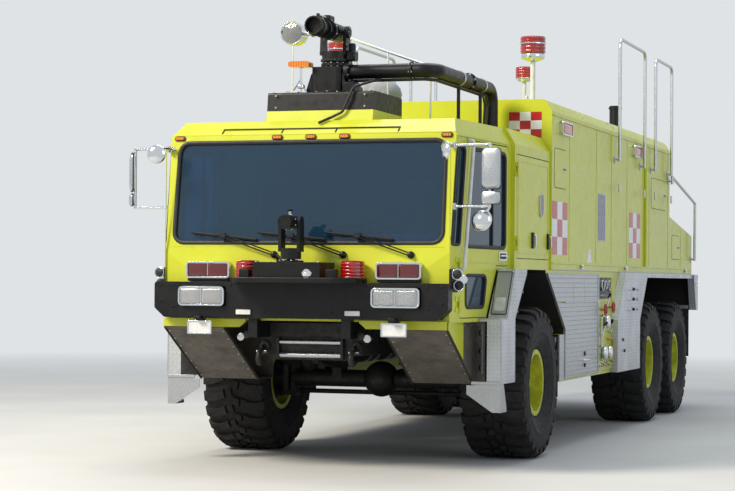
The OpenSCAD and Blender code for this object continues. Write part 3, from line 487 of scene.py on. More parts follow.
def ramp(tree, factor, stops):
    """A colour ramp; stops are (position, colour)."""
    node = add_node(tree, "ShaderNodeValToRGB", None, Fac=factor)
    band = node.color_ramp.elements
    while len(band) < len(stops):
        band.new(0.5)
    for element, (position, shade) in zip(band, stops):
        element.position = position
        element.color = shade
    return node.outputs["Color"]


def spread(tree, factor, low, high, start=0.3, end=0.7):
    """Maps a factor from start..end to low..high."""
    return add_node(tree, "ShaderNodeMapRange", {"From Min": start, "From Max": end, "To Min": low,
        "To Max": high},
        Value=factor).outputs["Result"]


def bump(tree, height, distance_mm, strength=1.0, edge_mm=0.0):
    """Bump of a real depth; edge_mm also softens hard edges in the light, as paint and rolling do."""
    node = add_node(tree, "ShaderNodeBump", {"Strength": strength, "Distance": distance_mm / 1000},
        Height=height)
    if edge_mm:
        soft = add_node(tree, "ShaderNodeBevel", {"samples": 4, "Radius": edge_mm / 1000})
        link(tree, soft.outputs["Normal"], node.inputs["Normal"])
    return node.outputs["Normal"]


def math_node(tree, operation, first, second=None, third=None):
    node = add_node(tree, "ShaderNodeMath", {"operation": operation})
    for i, value in enumerate((first, second, third)):
        if value is None:
            continue
        if isinstance(value, (int, float)):
            node.inputs[i].default_value = value
        else:
            link(tree, value, node.inputs[i])
    return node.outputs[0]


def mixed(tree, factor, first, second):
    """Mixes two colours, given as sockets or as colour values."""
    node = add_node(tree, "ShaderNodeMix", {"data_type": "RGBA"})
    link(tree, factor, node.inputs[0])
    for i, value in ((6, first), (7, second)):
        if isinstance(value, tuple):
            node.inputs[i].default_value = value
        else:
            link(tree, value, node.inputs[i])
    return node.outputs[2]


def in_view(tree):
    """1 for rays that the camera sees straight, in a reflection or through glass, 0 for the light's own."""
    rays = add_node(tree, "ShaderNodeLightPath")
    return math_node(tree, "MAXIMUM", rays.outputs["Is Camera Ray"],
        math_node(tree, "MAXIMUM", rays.outputs["Is Glossy Ray"], rays.outputs["Is Transmission Ray"]))


def road_dust(tree, paint, dust, top, strength=0.55):
    """Colour that turns to dust towards the road, from the height top down, in uneven patches."""
    height = add_node(tree, "ShaderNodeSeparateXYZ", None, Vector=coordinates(tree)).outputs["Z"]
    low = spread(tree, height, strength, 0.0, 0.3, top)
    patches = spread(tree, noise(tree, 260, 6.0, 0.6), 0.2, 1.0)
    return mixed(tree, math_node(tree, "MULTIPLY", low, patches), paint, dust)


MATERIALS = {}


def finish_of(name):
    """The material of that name, made when it is first asked for."""
    if name not in MATERIALS:
        MATERIALS[name] = MAKERS[name]()
    return MATERIALS[name]


def lime_enamel(name="lime_enamel", underneath=None, ahead=None):
    # Lime-yellow two-pack enamel, spray-painted on aluminium sheet: glossy, with faint orange peel
    # and a thin film of dust that dulls it near the road. Faces that look down, or ahead at a
    # wheel, beyond the given slopes are painted near black as painted shade, and made rough.
    material, tree, shader = new_material(name, Coat_Weight=0.18, Coat_Roughness=0.08, IOR=1.5,
        Specular_IOR_Level=0.38)
    tone = ramp(tree, noise(tree, 900, 4.0), [(0.3, colour(TRUCK().paint_shade)),
        (0.7, colour(TRUCK().paint))])
    base = road_dust(tree, tone, colour("8f8a5a"), 1.5, 0.45)
    rough = spread(tree, noise(tree, 120, 5.0), 0.26, 0.42)
    if underneath is not None:
        facing = add_node(tree, "ShaderNodeSeparateXYZ", None,
            Vector=add_node(tree, "ShaderNodeNewGeometry").outputs["True Normal"])
        # painted shade: faces that look down, or ahead, past the given slopes
        painted_shade = math_node(tree, "LESS_THAN", facing.outputs["Z"], underneath)
        if ahead is not None:
            painted_shade = math_node(tree, "MAXIMUM", painted_shade, math_node(tree, "LESS_THAN", facing.outputs["Y"],
                ahead))
        # the painted shade is near black
        base = mixed(tree, painted_shade, base, colour("161614"))
        rough = math_node(tree, "MAXIMUM", rough, math_node(tree, "MULTIPLY", painted_shade, 0.8))
    link(tree, base, shader.inputs["Base Color"])
    link(tree, rough, shader.inputs["Roughness"])
    link(tree, bump(tree, noise(tree, 9, 2.0), 0.12, 0.35, 3.0), shader.inputs["Normal"])
    return material


def enamel_with_painted_shade_below():
    # Enamel whose faces that look down are painted near black as painted shade.
    return lime_enamel("enamel_with_painted_shade_below", -0.6)


def wheel_housing_enamel_with_painted_shade():
    # Enamel whose faces that look down or ahead are painted near black as painted shade.
    return lime_enamel("wheel_housing_enamel_with_painted_shade", -0.2, -0.3)


def rim_enamel():
    # The same enamel on the pressed steel rims, duller and dustier.
    material, tree, shader = new_material("rim_enamel", Coat_Weight=0.15, Coat_Roughness=0.2, IOR=1.5)
    tone = ramp(tree, noise(tree, 140, 5.0), [(0.35, colour("a8ad1c")), (0.65, colour(TRUCK().paint))])
    dirt = spread(tree, noise(tree, 60, 6.0, 0.65), 0.0, 0.45, 0.45, 0.75)
    link(tree, mixed(tree, dirt, tone, colour("6d6a3c")), shader.inputs["Base Color"])
    link(tree, spread(tree, noise(tree, 50, 4.0), 0.35, 0.55), shader.inputs["Roughness"])
    link(tree, bump(tree, noise(tree, 7, 3.0), 0.2, 0.4, 4.0), shader.inputs["Normal"])
    return material


def tread_plate():
    # Five-bar aluminium tread plate, rolled: bright bars on a duller ground. The bars are drawn
    # 34 mm apart, a little coarser than the real 28 mm, so that they show in the render.
    material, tree, shader = new_material("tread_plate_aluminium", Metallic=0.6)
    pitch = 0.034
    place = add_node(tree, "ShaderNodeSeparateXYZ", None, Vector=coordinates(tree))
    facing = add_node(tree, "ShaderNodeSeparateXYZ", None,
        Vector=add_node(tree, "ShaderNodeNewGeometry").outputs["True Normal"])
    flat = math_node(tree, "GREATER_THAN", math_node(tree, "ABSOLUTE", facing.outputs["Z"]), 0.8)
    upright = math_node(tree, "SUBTRACT", 1.0, flat)
    side_on = math_node(tree, "ADD", place.outputs["X"], place.outputs["Y"])
    u = math_node(tree, "ADD", math_node(tree, "MULTIPLY", side_on, upright),
        math_node(tree, "MULTIPLY", place.outputs["X"], flat))
    v = math_node(tree, "ADD", math_node(tree, "MULTIPLY", place.outputs["Z"], upright),
        math_node(tree, "MULTIPLY", place.outputs["Y"], flat))
    cells = [math_node(tree, "DIVIDE", value, pitch) for value in (u, v)]
    whole = [math_node(tree, "FLOOR", c) for c in cells]
    part = [math_node(tree, "SUBTRACT", math_node(tree, "SUBTRACT", c, w), 0.5) for c, w in zip(cells, whole)]
    odd = math_node(tree, "ABSOLUTE",
        math_node(tree, "MODULO", math_node(tree, "ADD", whole[0], whole[1]), 2.0))
    lean = math_node(tree, "SUBTRACT", 1.0, math_node(tree, "MULTIPLY", odd, 2.0))
    along = math_node(tree, "ADD", part[0], math_node(tree, "MULTIPLY", part[1], lean))
    across = math_node(tree, "SUBTRACT", part[0], math_node(tree, "MULTIPLY", part[1], lean))
    lens = math_node(tree, "ADD",
        math_node(tree, "POWER", math_node(tree, "MULTIPLY", math_node(tree, "ABSOLUTE", along), 1.35), 2.0),
        math_node(tree, "POWER", math_node(tree, "MULTIPLY", math_node(tree, "ABSOLUTE", across), 4.6), 2.0))
    bars = spread(tree, lens, 1.0, 0.0, 0.55, 1.0)
    ground = ramp(tree, noise(tree, 300, 5.0), [(0.3, colour("b2b6bb")), (0.7, colour("cbcfd4"))])
    base = mixed(tree, math_node(tree, "MULTIPLY", bars, 0.55), ground, colour("d9dde2"))
    link(tree, road_dust(tree, base, colour("6f6a60"), 1.2, 0.5), shader.inputs["Base Color"])
    link(tree, spread(tree, bars, 0.48, 0.3, 0.0, 1.0), shader.inputs["Roughness"])
    link(tree, bump(tree, bars, 1.6, 0.8, 3.0), shader.inputs["Normal"])
    return material


def plain_aluminium():
    # Smooth aluminium sheet and extrusion, satin from rolling, with fine lengthwise streaks.
    material, tree, shader = new_material("rolled_aluminium", Metallic=0.8)
    stretched = add_node(tree, "ShaderNodeMapping", {"Scale": (1.0, 0.06, 1.0)},
        Vector=coordinates(tree)).outputs[0]
    streaks = noise(tree, 6, 2.0, 0.5, stretched)
    tone = ramp(tree, streaks, [(0.3, colour("a3a6aa")), (0.7, colour("c3c7cb"))])
    link(tree, road_dust(tree, tone, colour("7a7468"), 1.2, 0.4), shader.inputs["Base Color"])
    link(tree, spread(tree, streaks, 0.3, 0.46), shader.inputs["Roughness"])
    link(tree, bump(tree, streaks, 0.1, 0.4, 2.0), shader.inputs["Normal"])
    return material


def mottled(name, lumps, tones, smears, rough, grain, relief, dust=None, **principled):
    """A coat whose colour, roughness and surface each vary with their own noise.

    lumps, smears and grain are sizes in mm and details of noise; tones are the darker and the paler
    colour, rough the lowest and highest roughness, relief the depth in mm and what else bump()
    takes, and dust what road_dust() takes.
    """
    material, tree, shader = new_material(name, **principled)
    base = ramp(tree, noise(tree, *lumps), [(0.3, colour(tones[0])), (0.7, colour(tones[1]))])
    if dust:
        base = road_dust(tree, base, colour(dust[0]), *dust[1:])
    link(tree, base, shader.inputs["Base Color"])
    link(tree, spread(tree, noise(tree, *smears), *rough), shader.inputs["Roughness"])
    link(tree, bump(tree, noise(tree, *grain), *relief), shader.inputs["Normal"])
    return material


def grey_underplate():
    # Aluminium plate under the bumper, painted grey-brown by years of road dust.
    return mottled("dusty_plate", (180, 6.0, 0.6), ("4a4640", "6a655d"), (40, 5.0), (0.5, 0.72), (14, 4.0),
        (0.4, 0.4, 3.0), Metallic=0.35)


def black_powder_coat():
    # Black powder coat, baked on steel: satin with a fine pebble.
    return mottled("black_powder_coat", (200, 5.0), ("08090a", "101113"), (60, 5.0), (0.3, 0.5), (3, 2.0),
        (0.15, 0.4, 4.0), ("35322c", 1.3, 0.25), IOR=1.5, Specular_IOR_Level=0.3)


def chassis_paint():
    # Black chassis paint, brushed on castings and rolled steel, with mud and oil over it.
    material, tree, shader = new_material("chassis_paint", IOR=1.5)
    tone = ramp(tree, noise(tree, 120, 6.0, 0.65), [(0.3, colour("0c0c0c")), (0.62, colour("181715")),
        (0.8, colour("322d27"))])
    link(tree, tone, shader.inputs["Base Color"])
    link(tree, spread(tree, noise(tree, 50, 5.0), 0.45, 0.8), shader.inputs["Roughness"])
    link(tree, bump(tree, noise(tree, 16, 5.0, 0.6), 1.0, 0.45, 4.0), shader.inputs["Normal"])
    return material


def polished_chrome():
    # Chrome plate on brass and steel: bright, with a faint haze of water marks.
    material, tree, shader = new_material("polished_chrome", Metallic=1.0, Base_Color=colour("d6dade"))
    link(tree, spread(tree, noise(tree, 40, 5.0), 0.04, 0.16), shader.inputs["Roughness"])
    link(tree, bump(tree, noise(tree, 30, 2.0), 0.05, 0.3, 2.0), shader.inputs["Normal"])
    return material


def brushed_steel():
    # Stainless tube and plate, brushed: soft long highlights.
    material, tree, shader = new_material("brushed_stainless", Metallic=1.0)
    streaks = noise(tree, 5, 3.0)
    link(tree, ramp(tree, streaks, [(0.3, colour("a8abae")), (0.7, colour("cfd2d5"))]),
        shader.inputs["Base Color"])
    link(tree, spread(tree, streaks, 0.22, 0.38), shader.inputs["Roughness"])
    link(tree, bump(tree, streaks, 0.05, 0.3, 1.5), shader.inputs["Normal"])
    return material


def tyre_rubber():
    # Moulded tyre rubber: near black, matt, greyed by dust in the grooves and on the shoulders.
    material, tree, shader = new_material("tyre_rubber", IOR=1.5, Specular_IOR_Level=0.35)
    dust = spread(tree, noise(tree, 70, 7.0, 0.65), 0.0, 0.5, 0.45, 0.8)
    tone = ramp(tree, noise(tree, 220, 4.0), [(0.3, colour("131314")), (0.7, colour("1d1d1e"))])
    link(tree, mixed(tree, dust, tone, colour("3a3733")), shader.inputs["Base Color"])
    link(tree, spread(tree, noise(tree, 30, 5.0), 0.62, 0.86), shader.inputs["Roughness"])
    link(tree, bump(tree, noise(tree, 6, 5.0, 0.6), 0.5, 0.5), shader.inputs["Normal"])
    return material


def seal_rubber():
    # Extruded EPDM seal: black, smooth, half matt.
    return mottled("seal_rubber", (40, 3.0), ("0d0d0e", "18181a"), (25, 4.0), (0.45, 0.65), (4, 3.0),
        (0.1, 0.4),
        IOR=1.5)


def flap_rubber():
    # Moulded sheet rubber of the mud flaps, dusty towards the road.
    return mottled("flap_rubber", (90, 4.0), ("161618", "242426"), (60, 4.0), (0.6, 0.8), (12, 4.0),
        (0.4, 0.4),
        ("4d4840", 1.4, 0.6), IOR=1.5, Specular_IOR_Level=0.3)


def safety_glass():
    # Laminated glass, clear, with a faint uneven haze of dust; its blue colour is partly its own tint and
    # partly a painted reflection of blue sky.
    material, tree, shader = new_material("glass_tint_and_painted_sky", Transmission_Weight=0.84, IOR=1.5,
        Base_Color=colour("3d7097"))
    link(tree, spread(tree, noise(tree, 200, 4.0), 0.0, 0.05), shader.inputs["Roughness"])
    return material


def lens(name, tint, rib_mm, clear=0.55):
    """Moulded polycarbonate lens: clear colour over ribs that spread the light."""
    material, tree, shader = new_material(name, Roughness=0.12, IOR=1.58, Transmission_Weight=clear,
        Coat_Weight=0.6, Coat_Roughness=0.03)
    ribs = add_node(tree, "ShaderNodeTexWave", {"Scale": 1000 / rib_mm / 6.28, "bands_direction": "X"},
        Vector=coordinates(tree)).outputs["Fac"]
    deep = tuple(c * 0.55 for c in colour(tint)[:3]) + (1.0,)
    link(tree, ramp(tree, ribs, [(0.0, deep), (0.8, colour(tint))]), shader.inputs["Base Color"])
    link(tree, bump(tree, ribs, 1.2, 0.7), shader.inputs["Normal"])
    return material


def red_lens():
    return lens("red_polycarbonate", "c41216", 8, 0.25)


def signal_lens():
    return lens("signal_polycarbonate", "8a1410", 9, 0.55)


def amber_lens():
    return lens("amber_polycarbonate", "f58a12", 12, 0.1)


def clear_lens():
    return lens("clear_polycarbonate", "f6f8fa", 6, 0.75)


def lamp_reflector():
    # Vacuum-metallised reflector bowl behind a lens.
    material, tree, shader = new_material("metallised_reflector", Metallic=1.0, Base_Color=colour("eef0f2"))
    facets = add_node(tree, "ShaderNodeTexVoronoi", {"Scale": 1000 / 16},
        Vector=coordinates(tree)).outputs["Distance"]
    link(tree, spread(tree, facets, 0.05, 0.2, 0.0, 1.0), shader.inputs["Roughness"])
    link(tree, bump(tree, facets, 2.0, 0.6), shader.inputs["Normal"])
    return material


def reflective_sheet(name, tint):
    """Retroreflective vinyl, cut and laid by hand: beaded, satin, slightly wavy."""
    material, tree, shader = new_material(name, IOR=1.5, Coat_Weight=0.3, Coat_Roughness=0.1)
    beads = add_node(tree, "ShaderNodeTexVoronoi", {"Scale": 1000 / 5},
        Vector=coordinates(tree)).outputs["Distance"]
    pale = tuple(c * 0.82 for c in colour(tint)[:3]) + (1.0,)
    link(tree, ramp(tree, beads, [(0.1, colour(tint)), (0.9, pale)]), shader.inputs["Base Color"])
    link(tree, spread(tree, noise(tree, 60, 4.0), 0.25, 0.42), shader.inputs["Roughness"])
    link(tree, bump(tree, noise(tree, 30, 3.0), 0.15, 0.3), shader.inputs["Normal"])
    return material


def red_sheet():
    return reflective_sheet("red_reflective_vinyl", "ba141a")


def white_sheet():
    return reflective_sheet("white_reflective_vinyl", "eef0f2")


def blue_sheet():
    return reflective_sheet("blue_reflective_vinyl", "3d4a78")


def grey_sheet():
    return reflective_sheet("grey_reflective_vinyl", "9ba3a6")


def white_enamel():
    # White enamel on tube and plate, chalked a little by the sun.
    return mottled("white_enamel", (80, 5.0), ("cfd1cf", "e9eae8"), (40, 4.0), (0.32, 0.5), (8, 3.0),
        (0.12, 0.4),
        IOR=1.5, Coat_Weight=0.15, Coat_Roughness=0.2)


def moulded_plastic():
    # Black moulded ABS with a leather-like grain: dash, grips, housings.
    material, tree, shader = new_material("moulded_abs", IOR=1.5)
    cells = add_node(tree, "ShaderNodeTexVoronoi", {"Scale": 1000 / 4},
        Vector=coordinates(tree)).outputs["Distance"]
    link(tree, ramp(tree, noise(tree, 90, 3.0), [(0.3, colour("141517")), (0.7, colour("202225"))]),
        shader.inputs["Base Color"])
    link(tree, spread(tree, noise(tree, 50, 3.0), 0.45, 0.6), shader.inputs["Roughness"])
    link(tree, bump(tree, cells, 0.3, 0.5, 3.0), shader.inputs["Normal"])
    return material


def grey_plastic():
    # Pale grey moulded dash panel.
    return mottled("grey_moulded_panel", (90, 3.0), ("8d9296", "a4a9ad"), (50, 3.0), (0.5, 0.65), (4, 2.0),
        (0.2, 0.4, 3.0), IOR=1.5)


def seat_vinyl():
    # Dark grey coated seat cloth with a woven grain.
    material, tree, shader = new_material("seat_cloth", Sheen_Weight=0.3, Sheen_Roughness=0.5, Roughness=0.8)
    weave = add_node(tree, "ShaderNodeTexWave", {"Scale": 1000 / 5 / 6.28, "bands_direction": "DIAGONAL"},
        Vector=coordinates(tree)).outputs["Fac"]
    link(tree, ramp(tree, weave, [(0.0, colour("1c1e22")), (1.0, colour("33363c"))]),
        shader.inputs["Base Color"])
    link(tree, bump(tree, weave, 0.6, 0.6), shader.inputs["Normal"])
    return material


def red_enamel():
    # Gloss red enamel on small fittings and handles.
    return mottled("red_enamel", (60, 4.0), ("96100f", "b81a16"), (30, 4.0), (0.3, 0.45), (8, 3.0),
        (0.1, 0.4),
        IOR=1.5, Coat_Weight=0.3, Coat_Roughness=0.1)


def brass():
    # Cast and turned brass of valves and couplings, dulled.
    return mottled("cast_brass", (30, 5.0), ("8c6f3a", "c2a35c"), (20, 4.0), (0.25, 0.45), (8, 3.0),
        (0.2, 0.4),
        Metallic=1.0)


def mirror_glass():
    # Silvered mirror glass.
    material, tree, shader = new_material("silvered_mirror", Metallic=1.0, Base_Color=colour("c8d0d4"))
    link(tree, spread(tree, noise(tree, 90, 4.0), 0.01, 0.05), shader.inputs["Roughness"])
    return material


def grip_deck():
    # Anti-slip walkway on the roof: grit rolled into grey-green paint.
    material, tree, shader = new_material("grit_walkway", IOR=1.5)
    grit = noise(tree, 5, 3.0, 0.7)
    link(tree, ramp(tree, grit, [(0.35, colour("6e7218")), (0.65, colour("a0a52a"))]),
        shader.inputs["Base Color"])
    link(tree, spread(tree, grit, 0.6, 0.85), shader.inputs["Roughness"])
    link(tree, bump(tree, grit, 1.5, 0.7), shader.inputs["Normal"])
    return material


def pale_floor():
    # Smooth pale concrete that fades to the plain background with distance, so no edge shows.
    material, tree, shader = new_material("pale_floor", Roughness=0.85)
    tone = ramp(tree, noise(tree, 1800, 6.0), [(0.3, colour("c9c9c7")), (0.7, colour("d4d4d2"))])
    link(tree, tone, shader.inputs["Base Color"])
    link(tree, bump(tree, noise(tree, 18, 4.0), 0.5, 0.3), shader.inputs["Normal"])
    backdrop = add_node(tree, "ShaderNodeEmission", {"Color": colour(BACKDROP), "Strength": 1.0})
    distance = add_node(tree, "ShaderNodeVectorMath", {"operation": "LENGTH"},
        _0=coordinates(tree)).outputs["Value"]
    far = spread(tree, distance, 0.0, 1.0, 9.0, 24.0)
    both = add_node(tree, "ShaderNodeMixShader", None, Fac=math_node(tree, "MULTIPLY", far, in_view(tree)))
    link(tree, shader.outputs[0], both.inputs[1])
    link(tree, backdrop.outputs[0], both.inputs[2])
    link(tree, both.outputs[0], tree.nodes["Material Output"].inputs["Surface"])
    return material


MAKERS = {f.__name__: f for f in (
    lime_enamel, enamel_with_painted_shade_below, wheel_housing_enamel_with_painted_shade, rim_enamel, tread_plate, plain_aluminium,
    grey_underplate, black_powder_coat, chassis_paint,
    polished_chrome, brushed_steel, tyre_rubber, seal_rubber, flap_rubber, safety_glass, red_lens,
    signal_lens, amber_lens,
    clear_lens, lamp_reflector, red_sheet, white_sheet, blue_sheet, grey_sheet, white_enamel, moulded_plastic,
    grey_plastic, seat_vinyl, red_enamel, brass, mirror_glass, grip_deck, pale_floor)}

# What each CAD node that stays in sight is finished in
NODE_FINISH = {
    "lime_enamel": ("roof_plinth", "pump_panels", "door_left", "door_right", "locker_left", "locker_right",
        "tank_hatches"),
    # cab, locker and tank: faces that look down get painted shade
    "enamel_with_painted_shade_below": ("cab_shell", "locker_body", "tank_body"),
    # boxes over the wheels: faces that look down or ahead get painted shade
    "wheel_housing_enamel_with_painted_shade": ("low_boxes",),
    "rim_enamel": tuple("rim_" + w for w in WHEELS),
    "tread_plate": ("fender_boxes",),
    "plain_aluminium": ("side_shutters", "entry_steps"),
    "grey_underplate": ("approach_plates",),
    "black_powder_coat": ("front_bumper", "turret_base", "supply_pipe", "roof_turret", "roof_nozzle",
    "bumper_turret",
        "bumper_nozzle", "rear_fittings", "vent_stack"),
    "chassis_paint": ("frame_rails", "front_axle", "mid_axle", "rear_axle", "springs", "drivetrain",
    "engine_block",
        "tow_gear", "knuckle_left", "knuckle_right", "tie_rod"),
    "polished_chrome": ("mirrors", "front_lamps", "spotlight"),
    "brushed_steel": ("handrails",),
    "tyre_rubber": tuple("tyre_" + w for w in WHEELS),
    "flap_rubber": ("mud_flaps",),
    "safety_glass": ("windshield", "side_glass", "door_glass_left", "door_glass_right"),
    "red_lens": ("roof_beacons", "tail_lamps"),
    "moulded_plastic": ("dashboard",),
    "seat_vinyl": ("seats",),
}


def TRUCK():
    return bpy.context.scene.fire_truck


class FireTruckSettings(bpy.types.PropertyGroup):
    """Colours and sizes of the truck's finish that a user would change."""
    paint: StringProperty(name="Paint", description="sRGB hex colour of the enamel", default="ccd233")
    paint_shade: StringProperty(name="Paint shade", description="Darker tone of the enamel", default="c2c82b")
    lug_count: IntProperty(name="Lugs", description="Tread lugs round each side of a tyre", default=26,
        min=12, max=60)
    tread_depth: FloatProperty(name="Tread depth", description="Depth of the tread grooves", default=0.028,
        min=0.005, max=0.04, unit="LENGTH")
    wheel_nuts: IntProperty(name="Wheel nuts", description="Nuts on each wheel", default=10, min=5, max=12)


class TRUCK_OT_camera(bpy.types.Operator):
    """Sets the camera of the photograph"""
    bl_idname = "truck.camera"
    bl_label = "Camera"

    def execute(self, context):
        yaw, pitch, roll = (math.radians(a) for a in (18.607, 0.9865, 0.4595))
        focal_pixels, width_pixels = 2047.15, 735
        ahead = Vector((-math.sin(yaw) * math.cos(pitch), math.cos(yaw) * math.cos(pitch), math.sin(pitch)))
        right = Vector((math.cos(yaw), math.sin(yaw), 0))
        up = right.cross(ahead)
        tilted_right = right * math.cos(roll) + up * math.sin(roll)
        tilted_up = up * math.cos(roll) - right * math.sin(roll)
        data = bpy.data.cameras.new("camera")
        data.sensor_width = 36
        data.lens = focal_pixels * 36 / width_pixels
        camera = bpy.data.objects.new("camera", data)
        turn = Matrix((tilted_right, tilted_up, -ahead)).transposed().to_4x4()
        camera.matrix_world = Matrix.Translation(at(5.9269, -18.0458, 1.5884)) @ turn
        context.scene.collection.objects.link(camera)
        context.scene.camera = camera
        return {"FINISHED"}


class TRUCK_OT_stage(bpy.types.Operator):
    """Adds the floor, the soft lamps and the plain background"""
    bl_idname = "truck.stage"
    bl_label = "Stage"

    def execute(self, context):
        scene = context.scene
        scene.view_settings.view_transform = "Standard"
        size = 60.0
        mesh = bpy.data.meshes.new("floor")
        corners = [(-size, -size, 0), (size, -size, 0), (size, size, 0), (-size, size, 0)]
        mesh.from_pydata(corners, [], [(0, 1, 2, 3)])
        mesh.materials.append(finish_of("pale_floor"))
        floor = bpy.data.objects.new("floor", mesh)
        scene.collection.objects.link(floor)
        # each lamp: name, place, size, power, colour
        lamps = [
            ("key", (-9.0, -15.0, 13.0), 5.0, 3900, "fff4e2"),
            ("fill", (14.0, -9.0, 8.0), 9.0, 330, "eef4ff"),
            ("top", (0.0, 2.0, 14.0), 9.0, 900, "f4f8ff"),
        ]
        for name, place, wide, power, tint in lamps:
            lamp = bpy.data.lights.new(name, "AREA")
            lamp.size = wide
            lamp.energy = power
            lamp.color = colour(tint)[:3]
            thing = bpy.data.objects.new(name, lamp)
            thing.location = place
            aim = Vector((0, -1.5, 1.6)) - Vector(place)
            thing.rotation_euler = aim.to_track_quat("-Z", "Y").to_euler()
            scene.collection.objects.link(thing)
        self.background(scene)
        return {"FINISHED"}

    def background(self, scene):
        world = bpy.data.worlds.new("studio")
        scene.world = world
        world.use_nodes = True
        tree = world.node_tree
        tree.nodes.clear()
        plain = add_node(tree, "ShaderNodeBackground", {"Color": colour(BACKDROP), "Strength": 1.0})
        soft = add_node(tree, "ShaderNodeBackground", {"Color": colour("dfe8f2"), "Strength": 0.5})
        both = add_node(tree, "ShaderNodeMixShader", None, Fac=in_view(tree))
        link(tree, soft.outputs[0], both.inputs[1])
        link(tree, plain.outputs[0], both.inputs[2])
        out = add_node(tree, "ShaderNodeOutputWorld")
        link(tree, both.outputs[0], out.inputs["Surface"])


class TRUCK_OT_finishes(bpy.types.Operator):
    """Gives each part of the CAD model its finish"""
    bl_idname = "truck.finishes"
    bl_label = "Finishes"

    def execute(self, context):
        for name, nodes in NODE_FINISH.items():
            for node in nodes:
                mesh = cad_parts[node].data
                if not mesh.materials:
                    mesh.materials.append(None)
                for i in range(len(mesh.materials)):
                    mesh.materials[i] = finish_of(name)
        return {"FINISHED"}


class TRUCK_OT_tyres(bpy.types.Operator):
    """Replaces the plain tyres by tyres with lugs, grooves and sidewall rings"""
    bl_idname = "truck.tyres"
    bl_label = "Tyres"

    def execute(self, context):
        for wheel in WHEELS:
            self.tyre(wheel)
        return {"FINISHED"}

    def tyre(self, wheel):
        node = "tyre_" + wheel
        low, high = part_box(node)
        middle = (low + high) / 2
        piece = Piece("tread_" + wheel, "tyre_rubber")
        depth = TRUCK().tread_depth
        half = TYRE_WIDTH / 2
        top = TYRE_RADIUS
        bead, rim_half = 0.2705, 0.2295
        # carcass section from bead to bead, over the bottom of the grooves
        side = [(bead, rim_half), (0.304, rim_half), (0.318, 0.246), (0.335, 0.258), (0.345, 0.258),
            (0.352, 0.262),
                (0.40, 0.283), (0.455, 0.296), (0.462, 0.2995), (0.47, 0.2965), (0.52, half - 0.0005),
                (0.56, half - 0.002),
                (0.585, half - 0.006), (0.60, half - 0.014), (top - depth - 0.012, half - 0.03),
                (top - depth, half - 0.075),
                (top - depth, half - 0.16)]
        section = side + [(r, -h) for r, h in side[::-1]]
        piece.turned(section, middle, X_AXIS, 0, 120, closed=True)
        self.lugs(piece, middle, depth, half, top)
        tyre = piece.finish("wheel_" + wheel, 40, record_slot="tyre")
        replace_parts(tyre, node)

    def lugs(self, piece, middle, depth, half, top):
        count = TRUCK().lug_count
        pitch = math.tau / count
        # lug outlines as (share of the pitch, distance across the tyre from the middle line)
        shoulder = [(0.10, 0.085), (0.30, 0.150), (0.32, 0.245), (0.30, half - 0.004), (0.86, half - 0.004),
                    (0.88, 0.245), (0.78, 0.165), (0.58, 0.072)]
        centre = [(0.02, 0.012), (0.16, 0.066), (0.60, 0.052), (0.46, -0.002)]
        for side in SIDES:
            for k in range(count):
                start = (k + (0.5 if side < 0 else 0.0)) * pitch
                for outline in (shoulder, centre):
                    self.lug(piece, middle, [(start + a * pitch, side * b) for a, b in outline], depth, half,
                        top, side)

    def lug(self, piece, middle, outline, depth, half, top, side):
        def crown(b):
            edge = max(0.0, abs(b) - (half - 0.075)) / 0.075
            return top - 0.0005 - 0.045 * edge ** 2.2
        def point(a, b, r):
            return middle + Vector((b, r * math.cos(a), r * math.sin(a)))
        count = len(outline)
        centre_a = sum(a for a, b in outline) / count
        centre_b = sum(b for a, b in outline) / count
        rows = []
        for shrink, drop in ((1.06, -depth - 0.02), (1.0, -0.006), (0.95, 0.0)):
            row = []
            for a, b in outline:
                sa = centre_a + (a - centre_a) * shrink
                sb = centre_b + (b - centre_b) * (shrink if shrink < 1 else 1.0)
                row.append(point(sa, sb, crown(sb) + drop))
            rows.append(row)
        points = rows[0] + rows[1] + rows[2]
        faces = []
        for level in (0, 1):
            for i in range(count):
                j = (i + 1) % count
                face = [level * count + i, level * count + j, (level + 1) * count + j,
                    (level + 1) * count + i]
                faces.append(face if side > 0 else face[::-1])
        cap = list(range(2 * count, 3 * count))
        faces.append(cap if side > 0 else cap[::-1])
        piece.add(points, faces)


def lamp(piece, low, high, depth, radius, cells, housing, reflector, cover, out=0.0):
    """A lamp in the XY plane that faces Z: chrome bezel, cells with a reflector and a lens each."""
    rim = 0.014
    outer = rectangle(low, high, radius + rim, 3)
    inner = rectangle((low[0] + rim, low[1] + rim), (high[0] - rim, high[1] - rim), radius, 3)
    piece.ring(outer, inner, "Z", out - depth, out + 0.008, housing)
    piece.prism(inner, "Z", out - depth - 0.001, out - depth + 0.001, housing)
    wide = (high[0] - low[0] - 2 * rim) / cells
    for k in range(cells):
        a = (low[0] + rim + k * wide + 0.003, low[1] + rim + 0.003)
        b = (low[0] + rim + (k + 1) * wide - 0.003, high[1] - rim - 0.003)
        mouth = rectangle(a, b, radius * 0.6, 3)
        middle = Vector(((a[0] + b[0]) / 2, (a[1] + b[1]) / 2))
        loops = []
        for share, drop in ((1.0, 0.0), (0.86, 0.45), (0.55, 0.85), (0.2, 0.97)):
            loops.append([(middle.x + (p[0] - middle.x) * share, middle.y + (p[1] - middle.y) * share,
                out - 0.006 - (depth - 0.01) * drop) for p in mouth])
        piece.loft(loops[::-1], reflector if isinstance(reflector, int) else reflector[k], caps=(True, False))
        piece.turned([(0.0, 0.024), (0.008, 0.018), (0.008, 0)], (middle.x, middle.y, out - depth + 0.006),
            Z_AXIS,
            housing, 10)
        lens_slot = cover if isinstance(cover, int) else cover[k]
        loops = []
        for share, rise in ((1.0, -0.005), (1.0, 0.001), (0.95, 0.005), (0.6, 0.008)):
            loops.append([(middle.x + (p[0] - middle.x) * share, middle.y + (p[1] - middle.y) * share,
                out + rise)
                for p in mouth])
        piece.loft(loops, lens_slot, caps=(True, True))
        if k:
            x = low[0] + rim + k * wide
            piece.block((x - 0.003, low[1] + rim, out - depth), (x + 0.003, high[1] - rim, out + 0.006),
                housing)


